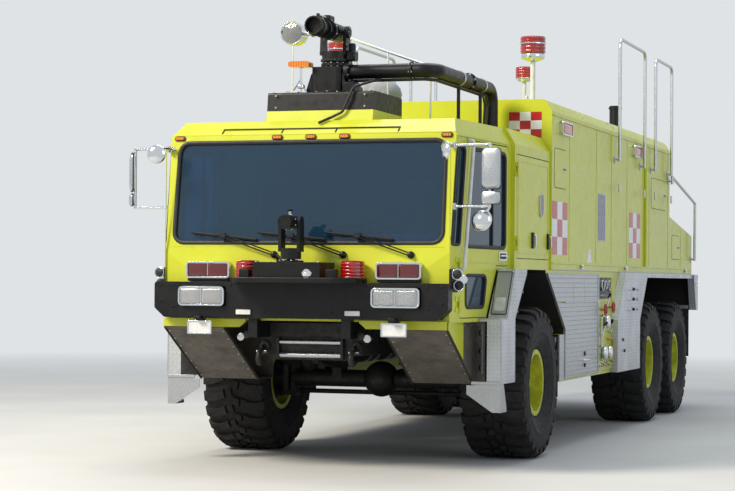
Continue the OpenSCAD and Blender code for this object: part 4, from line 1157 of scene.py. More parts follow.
class TRUCK_OT_glazing(bpy.types.Operator):
    """Adds the rubber seals round the panes, and the wipers"""
    bl_idname = "truck.glazing"
    bl_label = "Glazing"

    def execute(self, context):
        seal = Piece("windshield_seal", "seal_rubber")
        seal.frame = on_cab_face()
        foot, top = up_the_face(1.900), up_the_face(2.752)
        pane = rounded([(-1.192, foot), (1.192, foot), (1.186, top), (-1.186, top)], 0.09, 5)
        self.bead(seal, pane, 0.016, 0.012)
        seal.finish(sharp=50)
        for side in SIDES:
            name = side_name(side)
            quarter = [(0.052, 1.890), (0.238, 1.890), (0.366, 2.700), (0.180, 2.700)]
            fixed = Piece("quarter_seal_" + name, "seal_rubber")
            fixed.frame = cab_side_face(side)
            self.bead(fixed, rounded(quarter, [0.036, 0.036, 0.040, 0.040], 3), 0.012, 0.010)
            fixed.finish(sharp=50)
            door = Piece("door_seal_" + name, "seal_rubber")
            door.frame = cab_side_face(side)
            self.bead(door, rounded([(0.380, 1.880), (1.330, 1.880), (1.330, 2.700), (0.545, 2.700)], 0.055,
                3),
                0.016, 0.010)
            self.bead(door, rounded([(0.385, 1.372), (0.800, 1.372), (0.870, 1.640), (0.385, 1.640)], 0.045,
                3),
                0.014, 0.010)
            divider = 1.02
            door.block((divider - 0.009, 1.87, -0.024), (divider + 0.009, 2.71, 0.004))
            door.finish("cab_door_" + name, sharp=50)
        for i, pivot in enumerate((-0.267, 0.342, 0.929)):
            self.wiper(i, pivot)
        return {"FINISHED"}

    def bead(self, piece, outline, wide, proud):
        """A round-backed seal over the edge of an opening."""
        loops = []
        for spread_by, height in ((wide, -0.002), (wide, proud * 0.5), (wide * 0.5, proud),
                (-wide * 0.4, proud),
                                  (-wide, proud * 0.4), (-wide, -0.024)):
            loops.append([(p[0], p[1], height) for p in grown(outline, spread_by)])
        piece.loft(loops, 0, caps=(False, False))

    def wiper(self, number, pivot):
        piece = Piece(f"wiper_{number}", "black_powder_coat", "seal_rubber")
        piece.frame = on_cab_face()
        foot = up_the_face(1.800)
        tip = Vector((pivot - 0.46, foot + 0.155, 0.05))
        piece.turned([(0.030, -0.004), (0.030, 0.018), (0.018, 0.030), (0.018, 0.045), (0.0, 0.050)],
            (pivot, foot, 0), Z_AXIS, 0, 16)
        for offset in (-0.011, 0.011):
            piece.rod((pivot, foot + offset, 0.036), tip + Vector((0, offset, 0)), 0.006, 0, 8)
        piece.block(tip + Vector((-0.03, -0.022, -0.02)), tip + Vector((0.03, 0.022, 0.008)), 0, 0.004)
        run = Vector((-0.30, 0.030, 0))
        for a, b in ((-1.0, -0.45), (0.45, 1.0), (-0.45, 0.45)):
            piece.rod(tip + run * a + Vector((0, 0, -0.018)), tip + run * b + Vector((0, 0,
                -0.018 if a else 0)), 0.006, 0, 8)
        piece.prism(rounded([(tip.x + run.x, tip.y + run.y - 0.010), (tip.x - run.x, tip.y - run.y - 0.010),
            (tip.x - run.x, tip.y - run.y + 0.010), (tip.x + run.x, tip.y + run.y + 0.010)], 0.004, 2),
            "Z", 0.010, 0.030, 1)
        piece.finish()


class TRUCK_OT_lamps(bpy.types.Operator):
    """Replaces the front lamps and beacons, and adds the side, roof and marker lamps"""
    bl_idname = "truck.lamps"
    bl_label = "Lamps"

    def execute(self, context):
        self.front()
        self.beacons()
        self.side_lamps()
        self.spot()
        return {"FINISHED"}

    def front(self):
        piece = Piece("head_and_signal_lamps", "polished_chrome", "lamp_reflector", "clear_lens", "red_lens",
            "signal_lens", "black_powder_coat")
        for side in SIDES:
            piece.frame = mirror(side) @ facing_front(HEAD_LAMP_FACE)
            lamp(piece, (0.645, 1.369), (1.059, 1.531), 0.085, 0.020, 2, 0, 1, 2)
            piece.frame = mirror(side) @ facing_front(SIGNAL_LAMP_FACE)
            lamp(piece, (0.645, 1.600), (1.037, 1.740), 0.055, 0.014, 2, 0, 1, 4)
            piece.block((0.655, 1.575, -0.052), (1.027, 1.600, -0.004), 5, 0.004)
        frontal = piece.finish(sharp=40, record_slot="chrome")
        round_lamps = Piece("front_beacons", "red_lens", "black_powder_coat", "polished_chrome")
        for side in SIDES:
            foot = at(side * 0.4625, -2.190, 1.598)
            round_lamps.turned([(0.092, -0.028), (0.104, -0.024), (0.104, 0.0), (0.0, 0.0)], foot, Z_AXIS, 1,
                32)
            self.ribbed_drum(round_lamps, foot, 0.100, 0.155, 5)
        round_lamps.finish(sharp=40, record_slot="red_lens")
        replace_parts(frontal, "front_lamps")

    def ribbed_drum(self, piece, foot, radius, height, ribs, slot=0):
        """A drum lens with moulded ribs round it."""
        profile = [(radius * 0.98, 0.0)]
        for k in range(ribs):
            z = height * 0.92 * k / ribs
            step = height * 0.92 / ribs
            profile += [(radius, z + step * 0.12), (radius, z + step * 0.70),
                (radius * 0.965, z + step * 0.85)]
        profile += [(radius * 0.97, height * 0.94), (radius * 0.86, height * 0.985), (0.0, height)]
        piece.turned(profile, foot, Z_AXIS, slot, 32)

    def beacons(self):
        piece = Piece("mast_beacons", "red_lens", "polished_chrome", "white_enamel", "seal_rubber")
        for side in SIDES:
            foot = at(side * 1.012, 1.634, TANK_TOP)
            piece.turned([(0.085, 0), (0.085, 0.010), (0.040, 0.020), (0.0, 0.02)], foot, Z_AXIS, 1, 24)
            for k in range(4):
                a = math.tau * (k + 0.5) / 4
                piece.bolt(foot + Vector((math.cos(a) * 0.065, math.sin(a) * 0.065, 0.010)), Z_AXIS, 0.012, 1)
            piece.rod(foot, foot + Vector((0, 0, 0.47)), 0.025, 2, 20)
            base = foot + Vector((0, 0, 0.455))
            piece.turned([(0.03, 0.0), (0.075, 0.015), (0.112, 0.030), (0.118, 0.042), (0.118, 0.072),
                (0.108, 0.085),
                (0.0, 0.085)], base, Z_AXIS, 1, 36)
            self.ribbed_drum(piece, base + Vector((0, 0, 0.085)), 0.125, 0.085, 2)
            band = base + Vector((0, 0, 0.168))
            piece.turned([(0.110, 0.0), (0.133, 0.004), (0.133, 0.016), (0.11, 0.02)], band, Z_AXIS, 1, 36)
            self.ribbed_drum(piece, band + Vector((0, 0, 0.020)), 0.125, 0.062, 2)
        # the single beacon on the tank's roof
        foot = at(0.200, 4.500, TANK_TOP)
        piece.turned([(0.070, 0), (0.070, 0.010), (0.030, 0.018), (0.0, 0.018)], foot, Z_AXIS, 1, 24)
        piece.rod(foot, foot + Vector((0, 0, 0.55)), 0.021, 2, 20)
        base = foot + Vector((0, 0, 0.545))
        piece.turned([(0.03, 0.0), (0.072, 0.006), (0.080, 0.016), (0.080, 0.034), (0.0, 0.034)], base,
            Z_AXIS, 1, 32)
        piece.turned([(0.080, 0.030), (0.104, 0.036), (0.104, 0.044), (0.0, 0.044)], base, Z_AXIS, 1, 32)
        self.ribbed_drum(piece, base + Vector((0, 0, 0.044)), 0.102, 0.130, 4)
        mast = piece.finish(sharp=40, record_slot="red_lens")
        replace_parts(mast, "roof_beacons")

    def side_lamps(self):
        piece = Piece("side_lamps", "polished_chrome", "lamp_reflector", "red_lens", "amber_lens",
            "seal_rubber")
        for side in SIDES:
            piece.frame = facing_side(side, BODY_HALF + 0.030)
            for start in (0.97, 4.49):
                lamp(piece, (start, 2.995), (start + 0.44, 3.125), 0.030, 0.016, 1, 0, 1, 2)
            # small amber marker lamps low on the body: place back from the front axle
            piece.frame = facing_side(side, BODY_HALF + 0.012)
            for start in (1.90, 4.10, 7.90):
                lamp(piece, (start, 1.725), (start + 0.11, 1.765), 0.012, 0.008, 1, 0, 1, 3)
        # roof markers on the front edge of the cab roof
        piece.frame = on_cab_face()
        for x in (-1.19, -0.30, 0.0, 0.30, 1.19):
            middle = up_the_face(2.790)
            piece.prism(rectangle((x - 0.048, middle - 0.020), (x + 0.048, middle + 0.020), 0.012), "Z",
                -0.002, 0.010, 4)
            outline = rectangle((x - 0.040, middle - 0.014), (x + 0.040, middle + 0.014), 0.010)
            loops = [[(p[0], p[1], 0.010) for p in outline]]
            loops += [[(x + (p[0] - x) * 0.9, middle + (p[1] - middle) * 0.8, 0.024) for p in outline]]
            piece.loft(loops, 3, caps=(False, True))
        piece.finish(sharp=40)

    def spot(self):
        low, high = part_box("spotlight")
        middle = Vector((low.x + 0.10, low.y, (low.z + high.z) / 2))
        piece = Piece("spotlight_lens", "polished_chrome", "lamp_reflector", "clear_lens",
            "black_powder_coat")
        piece.turned([(0.100, -0.030), (0.106, -0.026), (0.106, 0.004), (0.098, 0.010), (0.090, 0.004),
            (0.090, -0.02)],
            middle, (0, -1, 0), 0, 40)
        piece.turned([(0.090, 0.000), (0.060, 0.010), (0.0, 0.016)], middle, (0, -1, 0), 2, 40)
        piece.turned([(0.092, 0.0), (0.086, 0.045), (0.060, 0.075), (0.022, 0.092), (0.0, 0.094)],
            middle + Vector((0, high.y - low.y, 0)), Y_AXIS, 0, 40)
        piece.finish("roof_barrel", sharp=45)


class TRUCK_OT_wheels(bpy.types.Operator):
    """Adds the nuts, hub caps and valves of the wheels"""
    bl_idname = "truck.wheels"
    bl_label = "Wheels"

    def execute(self, context):
        for wheel in WHEELS:
            side = 1 if wheel.endswith("left") else -1
            low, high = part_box("rim_" + wheel)
            middle = Vector(((low.x + high.x) / 2, (low.y + high.y) / 2, WHEEL_Z))
            piece = Piece("wheel_nuts_" + wheel, "chassis_paint", "rim_enamel", "brushed_steel")
            out = Vector((side, 0, 0))
            count = TRUCK().wheel_nuts
            for k in range(count):
                a = math.tau * k / count
                spot = middle + Vector((side * 0.1195, 0.136 * math.cos(a), 0.136 * math.sin(a)))
                piece.turned([(0.020, 0), (0.020, 0.005)], spot, out, 0, 16)
                piece.turned([(0.0165, 0.004), (0.0165, 0.022), (0.013, 0.027)], spot, out, 0, 6)
                piece.turned([(0.0085, 0.020), (0.0085, 0.036), (0.006, 0.039)], spot, out, 0, 12)
            cap = middle + Vector((side * 0.1695, 0, 0))
            piece.turned([(0.060, -0.002), (0.060, 0.004), (0.048, 0.010), (0.0, 0.011)], cap, out, 1, 32)
            for k in range(6):
                a = math.tau * (k + 0.5) / 6
                piece.bolt(cap + Vector((0, 0.071 * math.cos(a), 0.071 * math.sin(a))), out, 0.011, 0)
            # bead lock ring inside the outer flange, with its split
            ring = middle + Vector((side * 0.213, 0, 0))
            piece.turned([(0.262, 0.0), (0.262, 0.022), (0.270, 0.030), (0.284, 0.030), (0.288, 0.024),
                (0.276, 0.016),
                (0.270, 0.0)], ring, out, 1, 72, closed=True)
            stem = middle + Vector((side * 0.095, 0, 0.205))
            piece.rod(stem, stem + Vector((side * 0.045, 0, 0.008)), 0.006, 2, 10)
            piece.rod(stem + Vector((side * 0.045, 0, 0.008)), stem + Vector((side * 0.062, 0, 0.011)), 0.008,
                2, 10)
            # hand holes round the disc, shown as dark plates of painted shade that follow its cone
            for k in range(8):
                a = math.tau * (k + 0.5) / 8
                place = middle + Vector((side * 0.0885, 0.212 * math.cos(a), 0.212 * math.sin(a)))
                lean = Vector((side * 1.0, 0.62 * math.cos(a), 0.62 * math.sin(a))).normalized()
                piece.turned([(0.026, 0.0), (0.026, 0.003), (0.020, 0.004), (0.019, 0.001), (0.0, 0.001)],
                    place, lean, 0, 20)
            piece.finish("wheel_" + wheel, sharp=40)
        return {"FINISHED"}


class TRUCK_OT_bumper(bpy.types.Operator):
    """Adds the fittings of the bumper, its deck and the tow gear"""
    bl_idname = "truck.bumper"
    bl_label = "Bumper"

    def execute(self, context):
        piece = Piece("bumper_fittings", "black_powder_coat", "polished_chrome", "white_enamel",
            "brushed_steel",
            "seal_rubber", "lime_enamel")
        for side in SIDES:
            piece.frame = mirror(side) @ facing_front(BUMPER_FACE)
            # rubber pad and its bolts at each end of the bumper
            for x, z in ((1.12, 1.36), (1.12, 1.54), (1.235, 1.40), (1.235, 1.54), (0.60, 1.54),
                    (0.30, 1.32)):
                piece.bolt((x, z, 0), Z_AXIS, 0.014, 0)
            piece.block((0.414, 1.300, -0.002), (0.544, 1.340, 0.014), 2, 0.003)
            piece.block((0.404, 1.290, -0.004), (0.554, 1.350, 0.006), 0, 0.002)
            # blank plate under the bumper on its bracket
            piece.frame = mirror(side) @ facing_front(BUMPER_PLATE_FACE)
            piece.block((0.747, 1.140, -0.004), (0.955, 1.240, 0.002), 2, 0.002)
            piece.ring(rectangle((0.741, 1.134), (0.961, 1.246), 0.008),
                rectangle((0.752, 1.145), (0.950, 1.235), 0.008),
                "Z", -0.004, 0.006, 1)
            piece.block((0.800, 1.230, -0.020), (0.900, 1.285, -0.004), 0, 0.003)
            piece.block((0.820, 1.262, -0.020), (0.880, 1.285, 0.060), 0, 0.003)
            # yellow edge strip between the bumper and the plates below
            piece.frame = mirror(side) @ facing_front(UNDER_BUMPER_FACE)
            piece.prism([(0.500, 1.240), (0.560, 1.192), (1.250, 1.192), (1.250, 1.262), (0.500, 1.262)], "Z",
                -0.006, 0.012, 5)
        piece.finish(bevel=0.0015)
        self.deck()
        self.tow_gear()
        return {"FINISHED"}

    def deck(self):
        piece = Piece("deck_fittings", "black_powder_coat", "polished_chrome", "white_enamel",
            "brushed_steel",
            "tread_plate", "seal_rubber")
        # seam lip round the deck
        rim = [(-0.555, -2.13), (-0.555, -2.343), (-0.438, -2.547), (0.438, -2.547), (0.555, -2.343),
            (0.555, -2.13)]
        piece.pipe([at(x, y, 1.600) for x, y in rim], 0.012, 0, 8, 0.05)
        piece.pipe([at(x, y, 1.574) for x, y in rim], 0.008, 0, 8, 0.05)
        # chrome siren cup and the small lamps on the deck
        piece.turned([(0.030, 0), (0.058, 0.015), (0.062, 0.045), (0.040, 0.075), (0.0, 0.085)],
            at(0.175, -2.47, DECK_TOP), Z_AXIS, 1, 28)
        piece.block(at(-0.42, -2.50, DECK_TOP), at(-0.33, -2.42, 1.680), 0, 0.008)
        piece.block(at(0.33, -2.50, DECK_TOP), at(0.42, -2.42, 1.680), 0, 0.008)
        for x in (-0.27, 0.27):
            for y in (-2.49, -2.16):
                piece.bolt(at(x, y, 1.7355), Z_AXIS, 0.014, 3)
        for x in (-0.50, -0.2, 0.2, 0.50):
            piece.bolt(at(x, -2.145 if abs(x) > 0.3 else -2.535, DECK_TOP), Z_AXIS, 0.014, 3)
        # wires to the deck's box
        for x in (-0.20, -0.16):
            piece.pipe([at(x, -2.14, 1.700), at(x, -2.20, 1.752), at(x + 0.08, -2.30, 1.748),
                at(0.02, -2.335, 1.745)],
                0.007, 5, 8, 0.02)
        piece.finish(bevel=0.001)

    def tow_gear(self):
        piece = Piece("tow_fittings", "chassis_paint", "brushed_steel", "seal_rubber")
        y = -1.918
        for x in (-0.285, 0.285):
            piece.block(at(x - 0.012, y - 0.030, 0.925), at(x + 0.012, y + 0.030, 1.105), 0, 0.003)
        for z in (0.960, 1.070):
            piece.rod(at(-0.272, y, z), at(0.272, y, z), 0.0205, 1, 20)
        for side in SIDES:
            # clevis hook with its pin at each rail end
            x = side * 0.410
            piece.pipe([at(x, y - 0.02, 1.000), at(x, y - 0.13, 0.990), at(x, y - 0.165, 0.930),
                at(x, y - 0.12, 0.880),
                at(x, y - 0.06, 0.905)], 0.021, 0, 12, 0.05)
            piece.rod(at(x - 0.045, y - 0.075, 0.990), at(x + 0.045, y - 0.075, 0.990), 0.011, 1, 12)
            # air and light couplings beside the hook
            for k, dx in enumerate((0.095, 0.150)):
                spot = at(side * (0.410 + dx), -2.02, 1.13 - 0.02 * k)
                piece.turned([(0.022, 0), (0.022, 0.05), (0.032, 0.052), (0.032, 0.075), (0.015, 0.08),
                    (0, 0.08)], spot,
                    (0, -1, 0), 1 if k else 0, 16)
                piece.pipe([spot, spot + Vector((0, 0.05, 0.0)), spot + Vector((0, 0.09, 0.10))], 0.012, 2, 8,
                    0.03)
        piece.finish(bevel=0.001)


class TRUCK_OT_cab(bpy.types.Operator):
    """Adds the cab's mirrors, grab poles, handles, horns and seams"""
    bl_idname = "truck.cab"
    bl_label = "Cab"

    def execute(self, context):
        for side in SIDES:
            name = side_name(side)
            self.poles(side, name)
            self.door_fittings(side, name)
            self.round_mirror(side, name)
            self.horns(side, name)
        self.mirrors()
        self.roof()
        return {"FINISHED"}

    def poles(self, side, name):
        piece = Piece("grab_pole_" + name, "white_enamel", "brushed_steel")
        piece.frame = on_cab_side(side)
        low, high = (0.050, 0.229, 1.690), (0.050, 0.430, 2.755)
        piece.pipe([(0.0, low[1], low[2]), low, high, (0.0, high[1], high[2])], 0.016, 0, 12, 0.03)
        for p in (low, high):
            piece.turned([(0.034, 0), (0.034, 0.006), (0.020, 0.010)], (0.0, p[1], p[2]), X_AXIS, 1, 20)
        piece.finish()
        # seam and drip rail over the door
        trim = Piece("cab_side_trim_" + name, "seal_rubber", "lime_enamel", "brushed_steel")
        trim.frame = on_cab_side(side)
        trim.block((-0.002, 0.17, 2.782), (0.016, 1.40, 2.796), 1, 0.003)
        trim.block((-0.002, 0.03, 1.575), (0.002, 0.20, 1.580), 0)
        trim.block((-0.002, 0.015, 1.30), (0.005, 0.028, 2.70), 1, 0.001)
        trim.finish(bevel=0.001)

    def door_fittings(self, side, name):
        piece = Piece("door_fittings_" + name, "polished_chrome", "moulded_plastic", "brushed_steel",
            "seal_rubber",
            "lime_enamel")
        piece.frame = cab_side_face(side)
        # pull handle in its dish, under the window at the door's rear
        piece.prism(rectangle((1.17, 1.775), (1.36, 1.845), 0.02), "Z", 0.0, 0.004, 1)
        piece.ring(rectangle((1.165, 1.770), (1.365, 1.850), 0.022), rectangle((1.18, 1.785), (1.35, 1.835),
            0.018), "Z", 0, 0.008, 0)
        piece.pipe([(1.185, 1.812, 0.006), (1.185, 1.812, 0.030), (1.325, 1.812, 0.030),
            (1.325, 1.812, 0.006)], 0.009, 0, 10, 0.012)
        piece.turned([(0.014, 0), (0.014, 0.010), (0.0, 0.011)], (1.345, 1.812, 0.0), Z_AXIS, 0, 16)
        # pressed panel line across the door
        piece.block((0.30, 1.742, -0.001), (1.385, 1.750, 0.004), 4, 0.001)
        piece.finish("cab_door_" + name, bevel=0.0008)

    def mirrors(self):
        """Mirror arms and heads; the right head is folded back along the cab."""
        piece = Piece("mirror_heads", "polished_chrome", "moulded_plastic", "mirror_glass", "brushed_steel")
        for side in SIDES:
            piece.frame = on_cab_side(side)
            for z in (2.200, 2.700):
                piece.block((0.0005, 0.082, z - 0.028), (0.014, 0.138, z + 0.028), 3, 0.003)
                piece.rod((0.010, 0.110, z), (0.310, 0.110, z), 0.0125, 0, 12)
                for y in (0.092, 0.128):
                    piece.bolt((0.014, y, z), X_AXIS, 0.010, 3)
            piece.rod((0.310, 0.110, 2.188), (0.310, 0.110, 2.712), 0.0125, 0, 12)
            thick = 0.062
            if side < 0:
                thick = 0.028
                piece.frame = on_cab_side(side) @ Matrix.Translation((0.310, 0.110, 0)) @ Matrix.Rotation(
                    math.radians(64.5), 4, "Z") @ Matrix.Translation((-0.310, -0.110, 0))
            for z0, z1 in ((2.340, 2.668), (2.215, 2.320)):
                self.mirror_head(piece, (0.262, z0), (0.416, z1), 0.098 - thick, 0.098)
            if side > 0:
                # convex mirror below the others, for the road beside the wheel
                piece.rod((0.310, 0.110, 2.190), (0.270, 0.104, 2.120), 0.010, 0, 10)
                piece.turned([(0.0, -0.045), (0.045, -0.040), (0.078, -0.022), (0.090, 0.0), (0.092, 0.010),
                    (0.086, 0.014),
                    (0.0, 0.016)], (0.250, 0.085, 2.085), (0.1, 1, -0.25), 0, 28)
        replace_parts(piece.finish(), "mirrors")

    def mirror_head(self, piece, low, high, front, back):
        """A black shell with a bright rim, its glass to the rear."""
        shell = rectangle(low, high, 0.030, 4)
        middle = (Vector(low) + Vector(high)) / 2
        loops = []
        for share, y in ((0.70, front - 0.006), (0.90, front), (1.0, front + 0.020), (1.0, back - 0.006),
                (0.965, back)):
            loops.append([(middle.x + (p[0] - middle.x) * share, y,
                middle.y + (p[1] - middle.y) * share) for p in shell])
        piece.loft(loops, 3, caps=(True, True))
        piece.ring([tuple(middle + (Vector(p) - middle) * 1.03) for p in shell], shell, "Y", back - 0.018,
            back - 0.006, 1)
        piece.prism(rectangle((low[0] + 0.012, low[1] + 0.012), (high[0] - 0.012, high[1] - 0.012), 0.02),
            "Y",
            back, back + 0.003, 2)

    def round_mirror(self, side, name):
        # round mirror on an arm ahead of the corner post
        spot = Piece("round_mirror_" + name, "polished_chrome", "moulded_plastic", "mirror_glass")
        spot.frame = mirror(side)
        head = at(1.268, -2.272, 2.640)
        spot.turned([(0.0, 0.030), (0.045, 0.026), (0.074, 0.010), (0.080, 0.0), (0.078, -0.010),
            (0.070, -0.008), (0.0, -0.012)],
            head, (-0.75, -0.66, 0.05) if side > 0 else (-0.2, -1, 0), 0, 32)
        spot.pipe([at(1.238, -1.985, 2.700), at(1.262, -2.15, 2.700), at(1.262, -2.245, 2.655)], 0.009, 0, 10,
            0.03)
        spot.turned([(0.022, 0), (0.022, 0.008), (0.0, 0.012)], at(1.236, -1.985, 2.700), (0.6, -0.8, 0), 0,
            16)
        spot.finish()

    def horns(self, side, name):
        piece = Piece("corner_lamps_" + name, "polished_chrome", "seal_rubber", "clear_lens")
        piece.frame = on_cab_side(side)
        # a pair of short lamps on the front corner, one above the other, with a bracket behind
        piece.block((0.0005, 0.010, 1.500), (0.012, 0.190, 1.690), 1, 0.004)
        for y, z in ((0.030, 1.645), (0.070, 1.555)):
            spot = Vector((0.052, y + 0.045, z))
            piece.rod((0.008, y + 0.060, z), spot, 0.012, 0, 12)
            piece.turned([(0.0, -0.050), (0.020, -0.046), (0.034, -0.020), (0.042, 0.010), (0.046, 0.030),
                (0.047, 0.038),
                (0.042, 0.040), (0.040, 0.030)], spot, (0.25, -1, 0.0), 0, 28)
            piece.turned([(0.041, 0.028), (0.028, 0.036), (0.0, 0.039)], spot, (0.25, -1, 0.0), 1, 28)
        piece.turned([(0.0, -0.030), (0.030, -0.020), (0.036, 0.0), (0.036, 0.040), (0.030, 0.046),
            (0.0, 0.048)],
            (0.045, 0.200, 1.600), (0.5, -0.8, 0.1), 0, 24)
        piece.finish()

    def roof(self):
        piece = Piece("cab_roof_fittings", "lime_enamel", "seal_rubber", "grey_sheet", "black_powder_coat",
            "white_enamel", "polished_chrome")
        # seams of the roof's front edge, on the leaning face
        piece.frame = on_cab_face()
        top = up_the_face(FACE_TOP)
        piece.block((-1.225, top - 0.006, -0.002), (1.225, top, 0.003), 0, 0.001)
        piece.block((-1.20, up_the_face(1.865), -0.002), (1.20, up_the_face(1.869), 0.003), 0, 0.001)
        piece.frame = Matrix.Identity(4)
        # whip aerial beside the plinth
        foot = at(-0.62, -0.76, CAB_ROOF)
        piece.turned([(0.030, 0), (0.030, 0.02), (0.015, 0.05), (0.010, 0.10), (0.0, 0.10)], foot, Z_AXIS, 5,
            16)
        piece.rod(foot + Vector((0, 0, 0.08)), foot + Vector((0, 0, 1.02)), 0.008, 4, 8, 0.004)
        # black gutter across the roof's front slope, with the joints of its panels
        low_edge, high_edge = Vector((0, -1.945, 2.820)), Vector((0, -1.780, CAB_ROOF))
        rise = (high_edge - low_edge).normalized()
        across = Vector(X_AXIS)
        lean_on = Matrix((across, rise, across.cross(rise))).transposed().to_4x4()
        piece.frame = Matrix.Translation(at(0, low_edge.y, low_edge.z)) @ lean_on
        piece.block((-0.815, 0.066, -0.002), (0.770, 0.080, 0.010), 3, 0.003)
        for x in (-0.815, -0.275, 0.205, 0.757):
            piece.block((x, 0.010, -0.002), (x + 0.012, 0.070, 0.005), 3, 0.001)
        piece.frame = Matrix.Identity(4)
        # bolts of the plinth
        low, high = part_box("turret_base")
        for x in (-0.44, -0.22, 0.0, 0.22, 0.44):
            piece.bolt(Vector((x, low.y + 0.07, 3.1905)), Z_AXIS, 0.016, 3)
            piece.bolt(Vector((x, high.y - 0.05, 3.1905)), Z_AXIS, 0.016, 3)
        piece.finish(bevel=0.001)


class TRUCK_OT_body(bpy.types.Operator):
    """Adds the seams, trim, patches and latches of the body's sides"""
    bl_idname = "truck.body"
    bl_label = "Body sides"

    def execute(self, context):
        names = ("lime_enamel", "seal_rubber", "red_sheet", "white_sheet", "blue_sheet", "grey_sheet",
            "plain_aluminium", "black_powder_coat", "brushed_steel")
        for side in SIDES:
            name = side_name(side)
            piece = Piece("body_trim_" + name, *names)
            piece.frame = facing_side(side, BODY_HALF)
            self.mouldings(piece)
            for low in ((0.700, 1.850), (4.350, 1.865)):
                self.chequers(piece, low, (0.630, 0.505))
            # plain bar and its pale edge, small pale marker
            piece.block((2.715, 2.015, -0.001), (3.090, 2.515, 0.0010), 5)
            piece.block((2.730, 2.030, -0.001), (3.075, 2.500, 0.0016), 4)
            piece.prism([(2.22, 1.790), (2.43, 1.790), (2.35, 1.930), (2.30, 1.930)], "Z", -0.001, 0.0012, 3)
            piece.frame = mirror(side) @ facing_front(0.680)
            self.chequers(piece, (1.022, 2.945), (0.318, 0.245))
            piece.finish(sharp=30)
            self.locker(side, name)
        return {"FINISHED"}

    def chequers(self, piece, low, size):
        """A 3 by 3 patch of red and white sheet, red at its corners."""
        wide, tall = size[0] / 3, size[1] / 3
        for row in range(3):
            for column in range(3):
                x, z = low[0] + column * wide, low[1] + row * tall
                piece.block((x, z, -0.001), (x + wide, z + tall, 0.0012), 2 + (row + column) % 2)

    def mouldings(self, piece):
        # long mouldings: underside, top, how far out, slot, end
        for low, high, out, slot, end in ((1.701, 1.712, 0.006, 6, 8.42), (1.760, 1.776, 0.010, 0, 8.40),
                                          (3.158, 3.172, 0.012, 0, 6.82)):
            piece.block((0.700, low, -0.001), (end, high, out), slot, 0.003)
        # cover strips over the joints of the sheets
        for y, top in ((1.420, 3.150), (2.640, 3.150), (3.400, 3.150), (4.230, 3.150), (5.520, 3.150),
                (6.730, 3.150),
                       (7.620, 2.260)):
            piece.block((y - 0.013, 1.786, -0.001), (y + 0.013, top, 0.0030), 0, 0.001)
            for k in range(12):
                z = 1.83 + (top - 1.88) * k / 11
                piece.turned([(0.006, 0.0025), (0.0045, 0.0055), (0.0, 0.0065)], (y, z, 0), Z_AXIS, 0, 8)
        piece.block((5.225, 1.780, -0.001), (5.265, 3.150, 0.028), 0, 0.006)
        # flush doors of the fillers: low corner, high corner
        for low, high in (((0.780, 2.480), (1.260, 2.860)), ((5.640, 2.460), (6.560, 2.820)),
                ((7.000, 1.880), (7.520, 2.180))):
            outer, inner = rectangle(low, high, 0.030), rectangle((low[0] + 0.007, low[1] + 0.007),
                (high[0] - 0.007, high[1] - 0.007), 0.024)
            piece.ring(outer, inner, "Z", -0.001, 0.0012, 1)
            piece.prism(inner, "Z", -0.001, 0.0025, 0)
            z = (low[1] + high[1]) / 2
            piece.turned([(0.034, 0.002), (0.034, 0.005), (0.024, 0.007), (0.0, 0.007)],
                (high[0] - 0.075, z, 0),
                Z_AXIS, 8, 20)
            piece.block((high[0] - 0.105, z - 0.008, 0.006), (high[0] - 0.045, z + 0.008, 0.014), 7, 0.003)
        # brackets under the feet of the rails: place back from the front axle, height
        for y, z in ((3.550, 2.910), (4.950, 2.910), (5.600, 2.910), (6.650, 2.910), (6.710, 2.830),
                (8.360, 1.900)):
            piece.turned([(0.046, -0.001), (0.046, 0.008), (0.026, 0.014), (0.022, 0.014)], (y, z, 0), Z_AXIS,
                8, 20)
            for a in (0.785, 2.356, 3.927, 5.498):
                piece.bolt((y + 0.035 * math.cos(a), z + 0.035 * math.sin(a), 0.008), Z_AXIS, 0.009, 8)

    def locker(self, side, name):
        names = ("black_powder_coat", "polished_chrome", "seal_rubber", "lime_enamel", "brushed_steel",
            "grey_plastic")
        piece = Piece("locker_fittings_" + name, *names)
        piece.frame = facing_side(side, LOCKER_HALF)
        for y in (-0.030, 0.560):
            piece.block((y - 0.006, 1.892, -0.001), (y + 0.066, 2.038, 0.018), 0, 0.006)
            piece.pipe([(y + 0.030, 1.915, 0.016), (y + 0.030, 1.915, 0.036), (y + 0.030, 2.010, 0.036),
                (y + 0.030, 2.010, 0.016)], 0.007, 1, 8, 0.010)
        # pressed border and the grey oval grip
        outer, inner = rectangle((-0.530, 1.840), (0.590, 2.670), 0.040), rectangle((-0.515, 1.855),
            (0.575, 2.655), 0.034)
        piece.ring(outer, inner, "Z", -0.001, 0.0035, 3)
        piece.prism(rounded([(0.255, 2.190), (0.395, 2.190), (0.395, 2.400), (0.255, 2.400)], 0.065, 6), "Z",
            -0.001, 0.006, 5)
        piece.ring(rounded([(0.250, 2.185), (0.400, 2.185), (0.400, 2.405), (0.250, 2.405)], 0.068, 6),
            rounded([(0.262, 2.197), (0.388, 2.197), (0.388, 2.393), (0.262, 2.393)], 0.058, 6), "Z", 0.0,
            0.012, 4)
        piece.finish("locker_door_" + name, bevel=0.0008)


